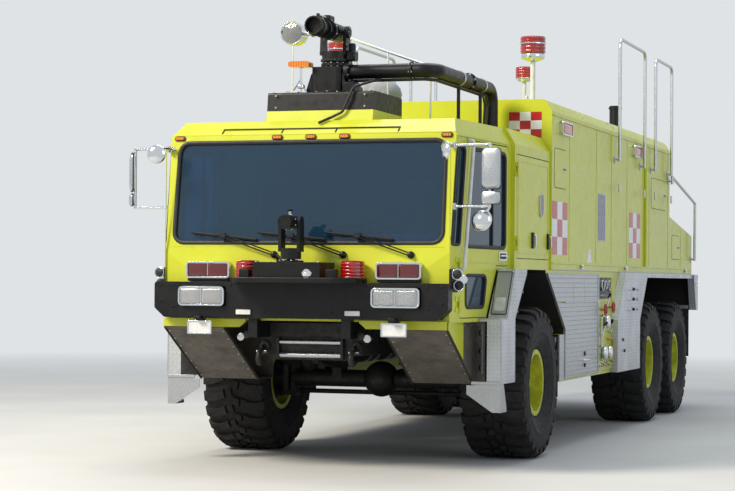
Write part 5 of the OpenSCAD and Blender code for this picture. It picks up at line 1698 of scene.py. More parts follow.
class TRUCK_OT_pumps(bpy.types.Operator):
    """Adds the frames and handles of the shutters, and the valves and outlets of the pump panels"""
    bl_idname = "truck.pumps"
    bl_label = "Shutters and pump panels"

    def execute(self, context):
        names = ("plain_aluminium", "polished_chrome", "black_powder_coat", "brass", "brushed_steel",
            "red_enamel",
            "white_enamel", "seal_rubber", "lime_enamel")
        for side in SIDES:
            name = side_name(side)
            piece = Piece("pump_fittings_" + name, *names)
            piece.frame = facing_side(side, BODY_HALF)
            self.shutter_frames(piece)
            self.valves(piece)
            piece.finish(sharp=40, bevel=0.0008)
        return {"FINISHED"}

    def shutter_frames(self, piece):
        # upright guides, sills and the seams of the upper shutter: low corner, high corner, how far out
        bars = (((2.676, 0.672), (2.700, 1.672), 0.024), ((1.200, 1.386), (2.676, 1.404), 0.022),
                ((1.194, 0.664), (2.676, 0.682), 0.024), ((0.500, 1.664), (2.676, 1.678), 0.020),
                ((1.550, 1.404), (1.564, 1.664), 0.018), ((2.050, 1.404), (2.064, 1.664), 0.018))
        for low, high, out in bars:
            piece.block((*low, 0.001), (*high, out), 0, 0.003)
        # sloping guide along the front edge, straight below
        piece.prism([(1.196, 0.680), (1.212, 0.680), (1.212, 1.150), (0.860, 1.402), (0.482, 1.668),
            (0.464, 1.668),
            (0.846, 1.394), (1.196, 1.142)], "Z", 0.001, 0.022, 0)
        # lift handle and latch of the lower shutter
        for y in (1.960, 2.166):
            piece.turned([(0.013, 0), (0.013, 0.006), (0.008, 0.010)], (y, 0.815, 0.016), Z_AXIS, 1, 14)
        piece.pipe([(1.960, 0.815, 0.018), (1.960, 0.815, 0.046), (2.166, 0.815, 0.046),
            (2.166, 0.815, 0.018)],
            0.009, 1, 10, 0.012)
        piece.block((2.045, 0.858, 0.014), (2.082, 0.900, 0.028), 2, 0.003)
        piece.block((2.050, 0.745, 0.014), (2.078, 0.782, 0.028), 2, 0.003)
        for k in (0, 4, 8):
            piece.bolt((0.99 + 0.0225 * k, 0.700, 0.0135), Z_AXIS, 0.007, 4)
        for z in (0.690, 0.860, 1.060):
            for y in (1.000, 1.170):
                piece.bolt((y, z, 0.0135), Z_AXIS, 0.009, 4)

    def valves(self, piece):
        face = 0.014
        # raised rim of the panel
        outer = rectangle((2.704, 0.684), (3.360, 1.666), 0.012)
        inner = rectangle((2.722, 0.702), (3.342, 1.648), 0.008)
        piece.ring(outer, inner, "Z", face - 0.001, face + 0.006, 8)
        for y in (2.713, 3.351):
            for k in range(7):
                piece.bolt((y, 0.73 + 0.147 * k, face + 0.005), Z_AXIS, 0.009, 4)
        # gauge plate at the top with gauges and toggles
        piece.block((2.760, 1.420, face - 0.001), (3.300, 1.640, face + 0.004), 2, 0.002)
        for y, z, r in ((2.850, 1.560, 0.052), (3.010, 1.565, 0.044), (3.180, 1.560, 0.052)):
            self.gauge(piece, (y, z, face + 0.003), r)
        for k in range(6):
            y = 2.80 + 0.092 * k
            piece.turned([(0.012, 0), (0.012, 0.006), (0.006, 0.008)], (y, 1.455, face + 0.003), Z_AXIS, 1,
                12)
            piece.rod((y, 1.455, face + 0.008), (y, 1.470, face + 0.034), 0.0045, 1, 8)
        # hand wheels and levers of the valves: place, height
        for y, z in ((2.830, 1.310), (3.215, 1.330)):
            self.hand_wheel(piece, (y, z, face), 0.055)
        for y, z, lean in ((2.810, 1.060, 0.5), (3.230, 1.080, -0.5), (3.010, 1.345, 0.3)):
            self.lever(piece, (y, z, face), lean)
        # capped outlets on the panel's three stubs, and a small drain under them
        for y, z in ((2.870, 0.860), (3.110, 0.860), (2.990, 1.180)):
            self.outlet(piece, (y, z, face - 0.001))
        for k in range(5):
            y = 2.785 + 0.110 * k
            piece.turned([(0.020, 0), (0.020, 0.012), (0.013, 0.014), (0.013, 0.030), (0.0, 0.032)],
                (y, 0.735, face),
                Z_AXIS, 3 if k % 2 else 1, 14)
        # small pipe across the panel
        piece.pipe([(3.290, 0.760, face), (3.290, 0.760, 0.045), (3.290, 0.985, 0.045), (3.160, 1.000, 0.045),
            (3.160, 1.000, face)], 0.011, 3, 10, 0.030)
        piece.pipe([(2.750, 0.930, face), (2.750, 0.930, 0.040), (2.750, 1.230, 0.040), (2.900, 1.250, 0.040),
            (2.900, 1.250, face)], 0.010, 4, 10, 0.030)

    def gauge(self, piece, place, radius):
        place = Vector(place)
        piece.turned([(radius, -0.002), (radius + 0.006, 0.002), (radius + 0.006, 0.018), (radius, 0.022),
            (radius - 0.004, 0.018), (radius - 0.004, 0.012)], place, Z_AXIS, 1, 32)
        piece.turned([(radius - 0.003, 0.012), (0.0, 0.012)], place, Z_AXIS, 6, 32)
        # scale marks and the pointer
        for k in range(9):
            a = math.radians(225 - 33.75 * k)
            inner, outer = radius * 0.68, radius * 0.85
            piece.rod(place + Vector((inner * math.cos(a), inner * math.sin(a), 0.0125)),
                place + Vector((outer * math.cos(a), outer * math.sin(a), 0.0125)), 0.0016, 2, 4)
        piece.rod(place + Vector((0, 0, 0.0135)), place + Vector((-radius * 0.55, radius * 0.35, 0.0135)),
            0.002, 5, 6, 0.0008)

    def hand_wheel(self, piece, place, radius):
        place = Vector(place)
        piece.rod(place, place + Vector((0, 0, 0.052)), 0.012, 3, 12)
        ring = [place + Vector((radius * math.cos(a), radius * math.sin(a), 0.055)) for a in
            (math.tau * k / 24 for k in range(25))]
        piece.turned([(radius - 0.008, 0.047), (radius, 0.044), (radius + 0.008, 0.047),
            (radius + 0.008, 0.058),
            (radius, 0.061), (radius - 0.008, 0.058)], place, Z_AXIS, 5, 28, closed=True)
        for k in range(5):
            piece.rod(place + Vector((0, 0, 0.050)), ring[round(24 * k / 5)] - Vector((0, 0, 0.003)), 0.0055,
                5, 8)
        piece.turned([(0.018, 0.044), (0.018, 0.058), (0.010, 0.062), (0.0, 0.062)], place, Z_AXIS, 5, 16)

    def lever(self, piece, place, lean):
        place = Vector(place)
        piece.turned([(0.034, 0), (0.034, 0.008), (0.022, 0.012), (0.022, 0.034), (0.0, 0.036)], place,
            Z_AXIS, 1, 20)
        tip = place + Vector((0.12 * math.sin(lean), 0.12 * math.cos(lean), 0.050))
        piece.rod(place + Vector((0, 0, 0.028)), tip, 0.008, 4, 10, 0.006)
        piece.turned([(0.004, -0.030), (0.013, -0.024), (0.014, 0.010), (0.010, 0.020), (0.0, 0.022)], tip,
            tip - place, 2, 14)

    def outlet(self, piece, place):
        """Flange, collar with lugs and a capped end, over the stub that is in the CAD model."""
        place = Vector(place)
        piece.turned([(0.056, 0.0), (0.084, 0.0), (0.084, 0.010), (0.064, 0.014), (0.0565, 0.020)], place,
            Z_AXIS, 4, 32)
        for k in range(6):
            a = math.tau * k / 6
            piece.bolt(place + Vector((0.074 * math.cos(a), 0.074 * math.sin(a), 0.010)), Z_AXIS, 0.009, 4)
        piece.turned([(0.0555, 0.024), (0.066, 0.026), (0.068, 0.032), (0.068, 0.052), (0.064, 0.058),
            (0.058, 0.062),
            (0.030, 0.064), (0.0, 0.064)], place, Z_AXIS, 1, 36)
        for k in range(3):
            a = math.tau * (k + 0.25) / 3
            spot = place + Vector((0.067 * math.cos(a), 0.067 * math.sin(a), 0.042))
            piece.turned([(0.010, -0.012), (0.010, 0.008), (0.006, 0.011), (0.0, 0.011)], spot,
                (math.cos(a), math.sin(a), 0), 1, 10)
        # chain of the cap
        line = [place + Vector((0.02, -0.055, 0.062)), place + Vector((0.05, -0.105, 0.040)),
            place + Vector((0.085, -0.095, 0.010))]
        piece.pipe(line, 0.004, 4, 6, 0.03)


class TRUCK_OT_fenders(bpy.types.Operator):
    """Adds the edges, bolts and small fittings of the step boxes, steps, flaps and under-plates"""
    bl_idname = "truck.fenders"
    bl_label = "Step boxes"

    def execute(self, context):
        names = ("plain_aluminium", "seal_rubber", "white_enamel", "black_powder_coat", "polished_chrome",
            "brushed_steel",
            "lime_enamel", "tread_plate", "amber_lens", "chassis_paint")
        for side in SIDES:
            name = side_name(side)
            piece = Piece("step_box_fittings_" + name, *names)
            self.front_box(piece, side)
            self.step_well(piece, side)
            self.rear_box(piece, side)
            self.flaps(piece, side)
            piece.finish(sharp=35, bevel=0.0008)
        return {"FINISHED"}

    def edge(self, piece, path, slot=0, radius=0.0065):
        """A rolled edge bead along a path."""
        piece.pipe(path, radius, slot, 8, 0.008)

    def front_box(self, piece, side):
        out = STEP_BOX_HALF
        front, back = -1.430, -0.975
        piece.frame = mirror(side)
        # bright rolled edges of the box's outer corners, lower part then ledge
        self.edge(piece, [at(out - 0.004, front + 0.004, 0.736), at(out - 0.004, front + 0.004, 1.250)])
        self.edge(piece, [at(1.400, front + 0.002, 0.734), at(out - 0.004, front + 0.002, 0.734),
            at(out - 0.004, back - 0.006, 0.734)])
        self.edge(piece, [at(1.275, front + 0.003, 1.274), at(out - 0.004, front + 0.003, 1.274),
            at(out - 0.004, -1.205, 1.274)])
        self.edge(piece, [at(out - 0.003, back - 0.010, 0.740), at(out - 0.003, back - 0.014, 1.275),
            at(out - 0.003, -0.600, 1.655), at(out - 0.003, -0.585, 1.692)])
        # blank panel with a dark rim on the sloping face of the hood over the wheel
        foot, top = Vector((0, -1.2214, 1.290)), Vector((0, -0.985, 1.690))
        up = (top - foot).normalized()
        outward = Vector((0, -up.z, up.y))
        turn = Matrix((Vector(X_AXIS), up, outward)).transposed().to_4x4()
        piece.frame = mirror(side) @ Matrix.Translation(at(0, foot.y, foot.z)) @ turn
        outline = rectangle((1.368, 0.022), (1.506, 0.448), 0.014)
        piece.ring(outline, grown(outline, -0.007), "Z", -0.002, 0.006, 1)
        piece.prism(grown(outline, -0.007), "Z", -0.002, 0.003, 0)
        piece.prism(rectangle((1.392, 0.060), (1.482, 0.190), 0.014), "Z", 0.003, 0.006, 2)
        for x in (1.373, 1.501):
            for y in (0.012, 0.456):
                piece.bolt((x, y, 0), Z_AXIS, 0.008, 5)
        # bolts down the side and the front plate
        piece.frame = facing_side(side, out)
        for y, z in ((-1.395, 0.78), (-1.395, 0.98), (-1.395, 1.20), (-1.015, 0.78), (-1.015, 0.98),
                (-1.015, 1.20),
                     (-0.90, 1.33), (-0.72, 1.50), (-0.86, 1.64), (-1.00, 1.52)):
            piece.bolt((y, z, 0), Z_AXIS, 0.009, 5)
        piece.frame = mirror(side) @ facing_front(front)
        for x, z in ((1.425, 0.77), (1.425, 1.00), (1.425, 1.21), (1.500, 0.77), (1.500, 1.21)):
            piece.bolt((x, z, 0), Z_AXIS, 0.009, 5)
        # foot hook on the hanging step
        piece.frame = mirror(side)
        piece.rod(at(1.452, -1.250, 0.505), at(1.452, -1.418, 0.505), 0.008, 5, 8)
        piece.block(at(1.462, -1.418, 0.4965), at(1.512, -1.250, 0.500), 7, 0.001)
        for x, z in ((1.30, 0.700), (1.40, 0.705), (1.495, 0.700), (1.495, 0.560)):
            piece.bolt(at(x, -1.426, z), (0, -1, 0), 0.009, 5)

    def step_well(self, piece, side):
        # dark wall beside the step: white strip, three latches, treads
        piece.frame = facing_side(side, CAB_HALF)
        piece.block((-1.075, 0.800, -0.001), (-1.060, 1.225, 0.006), 2, 0.001)
        for z in (0.850, 0.995, 1.150):
            piece.block((-1.160, z - 0.022, -0.001), (-1.110, z + 0.022, 0.010), 3, 0.003)
            piece.turned([(0.011, 0), (0.011, 0.006), (0.0, 0.007)], (-1.135, z, 0.010), Z_AXIS, 5, 12)
        for y in (-1.62, -1.40, -1.20):
            piece.bolt((y, 1.225, 0), Z_AXIS, 0.010, 5)
        piece.frame = mirror(side)
        # bright lip of the lowest step
        piece.block(at(1.262, -1.436, 0.722), at(STEP_BOX_HALF - 0.001, -1.424, 0.750), 0, 0.003)
        # sill over the steps
        piece.block(at(1.256, -1.668, 1.252), at(1.274, -1.436, 1.268), 0, 0.003)

    def rear_box(self, piece, side):
        out = STEP_BOX_HALF
        piece.frame = mirror(side)
        front, back = 3.364, 4.574
        self.edge(piece, [at(out - 0.004, front + 0.003, 0.646), at(out - 0.004, front + 0.003, 1.190),
            at(out - 0.004, front + 0.412, 1.696)])
        self.edge(piece, [at(out - 0.004, back - 0.004, 0.646), at(out - 0.004, back - 0.004, 1.178),
            at(out - 0.004, back + 0.454, 1.694)])
        self.edge(piece, [at(1.446, front + 0.002, 0.644), at(out - 0.004, front + 0.002, 0.644),
            at(out - 0.004, back - 0.004, 0.644)])
        self.edge(piece, [at(out - 0.003, front + 0.004, 1.192), at(out - 0.003, back - 0.006, 1.192)], 0,
            0.005)
        self.edge(piece, [at(out - 0.004, 8.142, 1.694), at(out - 0.004, 8.310, 1.250),
            at(out - 0.004, 8.446, 1.250)])
        # small couplings on the side over the seam, and the panel's lamp and bolts
        piece.frame = facing_side(side, out)
        for k, (y, z) in enumerate((y, z) for z in (1.52, 1.41, 1.30) for y in (3.95, 4.17, 4.39)):
            piece.turned([(0.021, 0), (0.021, 0.005), (0.014, 0.008), (0.014, 0.020), (0.008, 0.022),
                (0.0, 0.022)],
                (y, z, 0), Z_AXIS, (4, 3, 5)[k % 3], 16)
        for y, z in ((3.40, 0.69), (3.40, 0.92), (3.40, 1.15), (4.53, 0.69), (4.53, 0.92), (4.53, 1.15),
                (3.97, 0.69),
                     (3.56, 1.34), (3.78, 1.62), (4.62, 1.34), (4.86, 1.62), (4.40, 1.62)):
            piece.bolt((y, z, 0), Z_AXIS, 0.010, 5)
        for y, z in ((3.62, 0.98), (3.70, 0.86)):
            piece.block((y - 0.022, z - 0.016, -0.001), (y + 0.022, z + 0.016, 0.014), 3, 0.004)
        # bolts of the straight ledge over the wheels
        piece.frame = facing_side(side, out - 0.020)
        for k in range(12):
            piece.bolt((5.10 + 0.262 * k, 1.675, 0), Z_AXIS, 0.010, 5)
        # clearance lamp at the end of the ledge
        piece.frame = facing_side(side, out)
        lamp(piece, (8.270, 1.560), (8.400, 1.620), 0.010, 0.010, 1, 4, 5, 8)

    def flaps(self, piece, side):
        piece.frame = mirror(side)
        # clamp bars and bolts at the top of each flap: face, height, stiffening ribs
        for y, top, low in ((0.958, 1.072, 0.520), (8.300, 1.312, 0.670)):
            piece.block(at(1.010, y - 0.012, top - 0.050), at(1.426, y, top - 0.006), 0, 0.003)
            for k in range(5):
                piece.bolt(at(1.045 + 0.085 * k, y - 0.012, top - 0.028), (0, -1, 0), 0.011, 5)
            for k in range(6):
                x = 1.030 + 0.070 * k
                piece.block(at(x - 0.008, y - 0.006, low), at(x + 0.008, y + 0.001, top - 0.060), 1, 0.003)
        # stays of the flap ahead of the tank
        piece.rod(at(1.120, 0.952, 0.560), at(1.120, 0.990, 0.640), 0.008, 5, 8)
        # flanges and bolts of the under-plates
        start, end = Vector((0, -2.110, 1.190)), Vector((0, -1.312, 0.720))
        for x in (0.705, 1.249):
            piece.rod(at(x, start.y, start.z - 0.010), at(x, end.y, end.z - 0.008), 0.007, 9, 8)
        for k in range(7):
            point = start.lerp(end, (k + 0.5) / 7)
            for x in (0.735, 1.225):
                piece.bolt(at(x, point.y, point.z - 0.0045), (0, -0.47, -0.80), 0.010, 5)


class TRUCK_OT_turrets(bpy.types.Operator):
    """Adds the flanges, drives, hoses and brackets of both turrets and of the pipe on the roof"""
    bl_idname = "truck.turrets"
    bl_label = "Turrets"

    def execute(self, context):
        self.roof_base()
        self.roof_head()
        self.roof_barrel()
        self.bumper_turret()
        return {"FINISHED"}

    def flange(self, piece, place, axis, radius, bolts, slot=0, bolt_slot=1, thick=0.018):
        """A bolted pipe flange round a pipe."""
        axis, place = Vector(axis).normalized(), Vector(place)
        piece.turned([(radius * 0.6, -thick), (radius, -thick), (radius, -0.001), (radius, 0.001),
            (radius, thick),
            (radius * 0.6, thick)], place, axis, slot, 32)
        across = axis.orthogonal().normalized()
        for k in range(bolts):
            spoke = Matrix.Rotation(math.tau * (k + 0.5) / bolts, 3, axis) @ across
            for way in (-1, 1):
                piece.bolt(place + spoke * radius * 0.84 + axis * thick * way, axis * way, 0.013, bolt_slot)

    def roof_base(self):
        names = ("black_powder_coat", "brushed_steel", "seal_rubber", "amber_lens", "polished_chrome",
            "grey_plastic",
            "white_enamel", "chassis_paint")
        piece = Piece("roof_turret_fittings", *names)
        centre = at(0, ROOF_TURRET_Y, 0)
        # pedestal: foot flange, gussets and bearing ring
        self.flange(piece, at(-0.040, ROOF_TURRET_Y, 3.200), Z_AXIS, 0.200, 10, 0, 1, 0.010)
        for x in (-0.176, 0.096):
            for y in (-1.45, -1.27):
                foot = 0.060 if x > 0 else -0.060
                piece.prism([(x, 3.21), (x + foot, 3.21), (x + foot * 0.2, 3.36), (x, 3.38)], "Y",
                    FRONT_AXLE + y - 0.006, FRONT_AXLE + y + 0.006, 0)
        self.flange(piece, centre + Vector((0, 0, 3.452)), Z_AXIS, 0.122, 12, 0, 1, 0.012)
        # supply pipe: flanges at the pedestal, before the bend, at the side and at its foot
        self.flange(piece, at(0.125, ROOF_TURRET_Y, SUPPLY_PIPE_Z), X_AXIS, 0.098, 8)
        self.flange(piece, at(0.700, ROOF_TURRET_Y, SUPPLY_PIPE_Z), X_AXIS, 0.078, 6, 0, 1, 0.010)
        self.flange(piece, at(0.900, -0.30, SUPPLY_PIPE_Z), Y_AXIS, 0.078, 6, 0, 1, 0.010)
        self.flange(piece, at(0.900, 0.490, 2.960), Z_AXIS, 0.104, 8)
        for y in (-0.62, 0.10):
            piece.rod(at(0.900, y, ROOF_FEET_Z), at(0.900, y, 3.330), 0.016, 0, 12)
            piece.turned([(0.064, -0.018), (0.069, -0.018), (0.069, 0.018), (0.064, 0.018)],
                at(0.900, y, SUPPLY_PIPE_Z),
                Y_AXIS, 1, 24)
            piece.block(at(0.850, y - 0.040, 2.940), at(0.950, y + 0.040, 2.948), 0, 0.002)
        # two thin lines clipped under the pipe
        for drop, inset in ((0.078, 0.010), (0.074, -0.022)):
            piece.pipe([at(0.150, -1.34 + inset, SUPPLY_PIPE_Z - drop),
                at(0.815 - inset, -1.34 + inset, SUPPLY_PIPE_Z - drop),
                at(0.880 - inset, -1.22, SUPPLY_PIPE_Z - drop), at(0.880 - inset, 0.300,
                SUPPLY_PIPE_Z - drop),
                at(0.870 - inset, 0.400, 3.240), at(0.850 - inset, 0.420, 2.950)], 0.010, 2, 8, 0.05)
        # electric drive beside the pedestal, its cable and the hose that runs to the gutter
        piece.block(at(0.100, -1.47, 3.205), at(0.215, -1.30, 3.300), 0, 0.010)
        piece.turned([(0.040, 0.0), (0.040, 0.110), (0.030, 0.125), (0.0, 0.125)], at(0.158, -1.30, 3.250),
            Y_AXIS, 0, 24)
        piece.pipe([at(0.420, -1.38, 3.325), at(0.345, -1.56, 3.270), at(0.300, -1.735, 3.225),
            at(0.270, -1.765, 3.140),
            at(0.215, -1.775, 3.010), at(0.110, -1.790, 2.960), at(0.030, -1.850, 2.915)], 0.012, 2, 10, 0.05)
        piece.pipe([at(-0.150, -1.30, 3.215), at(-0.260, -1.20, 3.205), at(-0.300, -1.00, 3.205),
            at(-0.300, -0.94, 3.160), at(-0.300, -0.935, 3.040)], 0.009, 2, 8, 0.03)
        # black box under the turret: screws and lifting eyes
        for x in (-0.42, -0.14, 0.14, 0.42):
            for y in (-1.70, -1.00):
                piece.bolt(at(x, y, LIGHT_BOX_TOP), Z_AXIS, 0.012, 1)
        for side in SIDES:
            piece.turned([(0.020, -0.006), (0.028, -0.006), (0.028, 0.006), (0.020, 0.006)],
                at(side * 0.44, -1.345, 3.215), Y_AXIS, 1, 16)
            for z in (3.060, 3.160):
                piece.bolt(at(side * 0.40, -1.740, z), (0, -1, 0), 0.010, 1)
        # plain orange case on a small bright bracket
        piece.rod(at(-0.262, -1.500, LIGHT_BOX_TOP), at(-0.262, -1.500, 3.430), 0.009, 4, 12)
        piece.rod(at(-0.330, -1.500, 3.230), at(-0.262, -1.500, 3.330), 0.007, 4, 10)
        piece.rod(at(-0.200, -1.500, LIGHT_BOX_TOP), at(-0.262, -1.500, 3.300), 0.007, 4, 10)
        piece.turned([(0.0, -0.020), (0.034, -0.014), (0.036, 0.0), (0.030, 0.016), (0.0, 0.020)],
            at(-0.262, -1.500, 3.260),
            Z_AXIS, 4, 20)
        case = rectangle((-0.360, 3.425), (-0.170, 3.475), 0.018, 3)
        piece.loft([[tuple(at(p[0], y, p[1])) for p in case] for y in (-1.560, -1.440)], 3)
        # thin steel rod above the pipe, on an upright
        piece.pipe([at(-0.120, -0.620, 3.772), at(0.238, -0.620, 3.641), at(0.559, -0.620, 3.529),
            at(0.640, -0.620, 3.500)], 0.011, 1, 8, 0.02)
        piece.rod(at(0.240, -0.620, ROOF_FEET_Z), at(0.240, -0.620, 3.650), 0.009, 6, 10)
        piece.rod(at(0.640, -0.620, ROOF_FEET_Z), at(0.640, -0.620, 3.500), 0.009, 6, 10)
        piece.rod(at(-0.120, -0.620, ROOF_FEET_Z), at(-0.120, -0.620, 3.772), 0.009, 6, 10)
        # pale dome of an aerial
        piece.rod(at(0.060, -0.300, ROOF_FEET_Z), at(0.060, -0.300, 3.240), 0.030, 5, 16)
        piece.turned([(0.030, 0.0), (0.190, 0.020), (0.205, 0.060), (0.190, 0.120), (0.140, 0.175),
            (0.070, 0.205),
            (0.0, 0.212)], at(0.060, -0.300, 3.225), Z_AXIS, 5, 36)
        piece.finish(sharp=38, bevel=0.0008)

    def roof_head(self):
        names = ("black_powder_coat", "brushed_steel", "chassis_paint", "seal_rubber")
        piece = Piece("roof_turret_head_fittings", *names)
        centre = at(0, ROOF_TURRET_Y, 3.480)
        # toothed ring of the yaw drive
        teeth = []
        for k in range(48):
            a, reach = math.tau * k / 48, (0.126 if k % 2 else 0.119)
            teeth += [(centre.x + math.cos(a + d) * reach,
                centre.y + math.sin(a + d) * reach) for d in (-0.03, 0.03)]
        piece.prism(teeth, "Z", centre.z + 0.002, centre.z + 0.020, 2)
        piece.block(at(0.117, -1.415, 3.484), at(0.196, -1.305, 3.570), 0, 0.010)
        piece.turned([(0.030, 0.0), (0.030, 0.060), (0.022, 0.070), (0.0, 0.070)],
            at(0.157, ROOF_TURRET_Y, 3.568), Z_AXIS, 0, 20)
        # bearing caps and bolts on the cheeks
        for side in SIDES:
            face = Vector((side * 0.118, centre.y, 3.735))
            if side > 0:
                piece.turned([(0.052, 0.0), (0.052, 0.012), (0.044, 0.018), (0.020, 0.020), (0.0, 0.020)],
                    face, X_AXIS, 0, 28)
                for k in range(6):
                    a = math.tau * k / 6
                    piece.bolt(face + Vector((0.014, math.cos(a) * 0.038, math.sin(a) * 0.038)), X_AXIS,
                        0.010, 1)
            for dy in (-0.035, 0.035):
                for z in (3.585, 3.625):
                    piece.bolt((side * 0.118, centre.y + dy, z), (side, 0, 0), 0.012, 1)
        piece.finish("roof_head", sharp=38, bevel=0.0008)

    def muzzle(self, piece, middle, tip, radius, teeth):
        """Rings along a barrel that points forward, and the toothed rim of its nozzle."""
        for y, grow, wide in ((0.34, 1.10, 0.030), (0.58, 1.06, 0.012), (0.86, 1.09, 0.040)):
            place = Vector((middle.x, middle.y + (tip - middle.y) * y, middle.z))
            piece.turned([(radius * 0.97, -wide / 2), (radius * grow, -wide / 2), (radius * grow, wide / 2),
                (radius * 0.97, wide / 2)], place, (0, -1, 0), 0, 32)
        for k in range(teeth):
            a = math.tau * k / teeth
            spoke = Vector((math.cos(a), 0, math.sin(a)))
            place = Vector((middle.x, tip, middle.z)) + spoke * radius * 0.96
            piece.rod(place + Vector((0, 0.045, 0)), place + Vector((0, 0.003, 0)), radius * 0.10, 0, 6)
        for k in range(8):
            a = math.tau * (k + 0.5) / 8
            spoke = Vector((math.cos(a), 0, math.sin(a)))
            place = Vector((middle.x, middle.y + (tip - middle.y) * 0.34, middle.z)) + spoke * radius * 1.10
            piece.bolt(place, spoke, 0.010, 1)

    def roof_barrel(self):
        names = ("black_powder_coat", "brushed_steel", "polished_chrome", "seal_rubber")
        piece = Piece("roof_barrel_fittings", *names)
        middle, tip = at(0, ROOF_TURRET_Y, 3.735), at(0, -1.92, 0).y
        self.muzzle(piece, middle, tip, 0.078, 16)
        # stem of the foam shaper along the barrel, with its actuator
        piece.block((-0.030, middle.y - 0.230, 3.808), (0.030, middle.y - 0.100, 3.862), 0, 0.008)
        piece.rod((0, middle.y - 0.230, 3.835), (0, middle.y - 0.440, 3.835), 0.010, 1, 12)
        piece.block((-0.012, middle.y - 0.455, 3.800), (0.012, middle.y - 0.425, 3.848), 0, 0.003)
        piece.pipe([Vector((-0.010, middle.y - 0.100, 3.830)), Vector((-0.030, middle.y - 0.020, 3.828)),
            Vector((-0.050, middle.y + 0.060, 3.800))], 0.007, 3, 8, 0.02)
        # bracket between the barrel and the spotlight
        piece.rod((-0.120, middle.y - 0.005, 3.735), (-0.300, middle.y - 0.005, 3.735), 0.020, 2, 14)
        piece.turned([(0.026, -0.012), (0.034, -0.012), (0.034, 0.012), (0.026, 0.012)],
            (-0.200, middle.y - 0.005, 3.735),
            X_AXIS, 1, 20)
        piece.finish("roof_barrel", sharp=38, bevel=0.0006)

    def bumper_turret(self):
        names = ("black_powder_coat", "brushed_steel", "brass", "seal_rubber")
        base = Piece("bumper_turret_fittings", *names)
        self.flange(base, at(0, BUMPER_TURRET_Y, 1.741), Z_AXIS, 0.105, 8, 0, 1, 0.006)
        base.pipe([at(-0.120, -2.330, 1.745), at(-0.150, -2.260, 1.775), at(-0.200, -2.215, 1.800),
            at(-0.200, -2.180, 1.760)], 0.010, 3, 8, 0.03)
        base.finish(sharp=38)
        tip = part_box("bumper_nozzle")[0].y
        barrel = Piece("bumper_barrel_fittings", *names)
        middle = at(0, BUMPER_TURRET_Y, 2.06)
        self.muzzle(barrel, middle, tip, 0.056, 12)
        barrel.rod((0, middle.y - 0.030, 2.116), (0, middle.y - 0.030, 2.150), 0.012, 1, 12)
        barrel.turned([(0.0, 0.0), (0.022, 0.004), (0.026, 0.014), (0.018, 0.024), (0.0, 0.026)],
            (0, middle.y - 0.030, 2.146), Z_AXIS, 0, 20)
        barrel.finish("bumper_barrel", sharp=38)


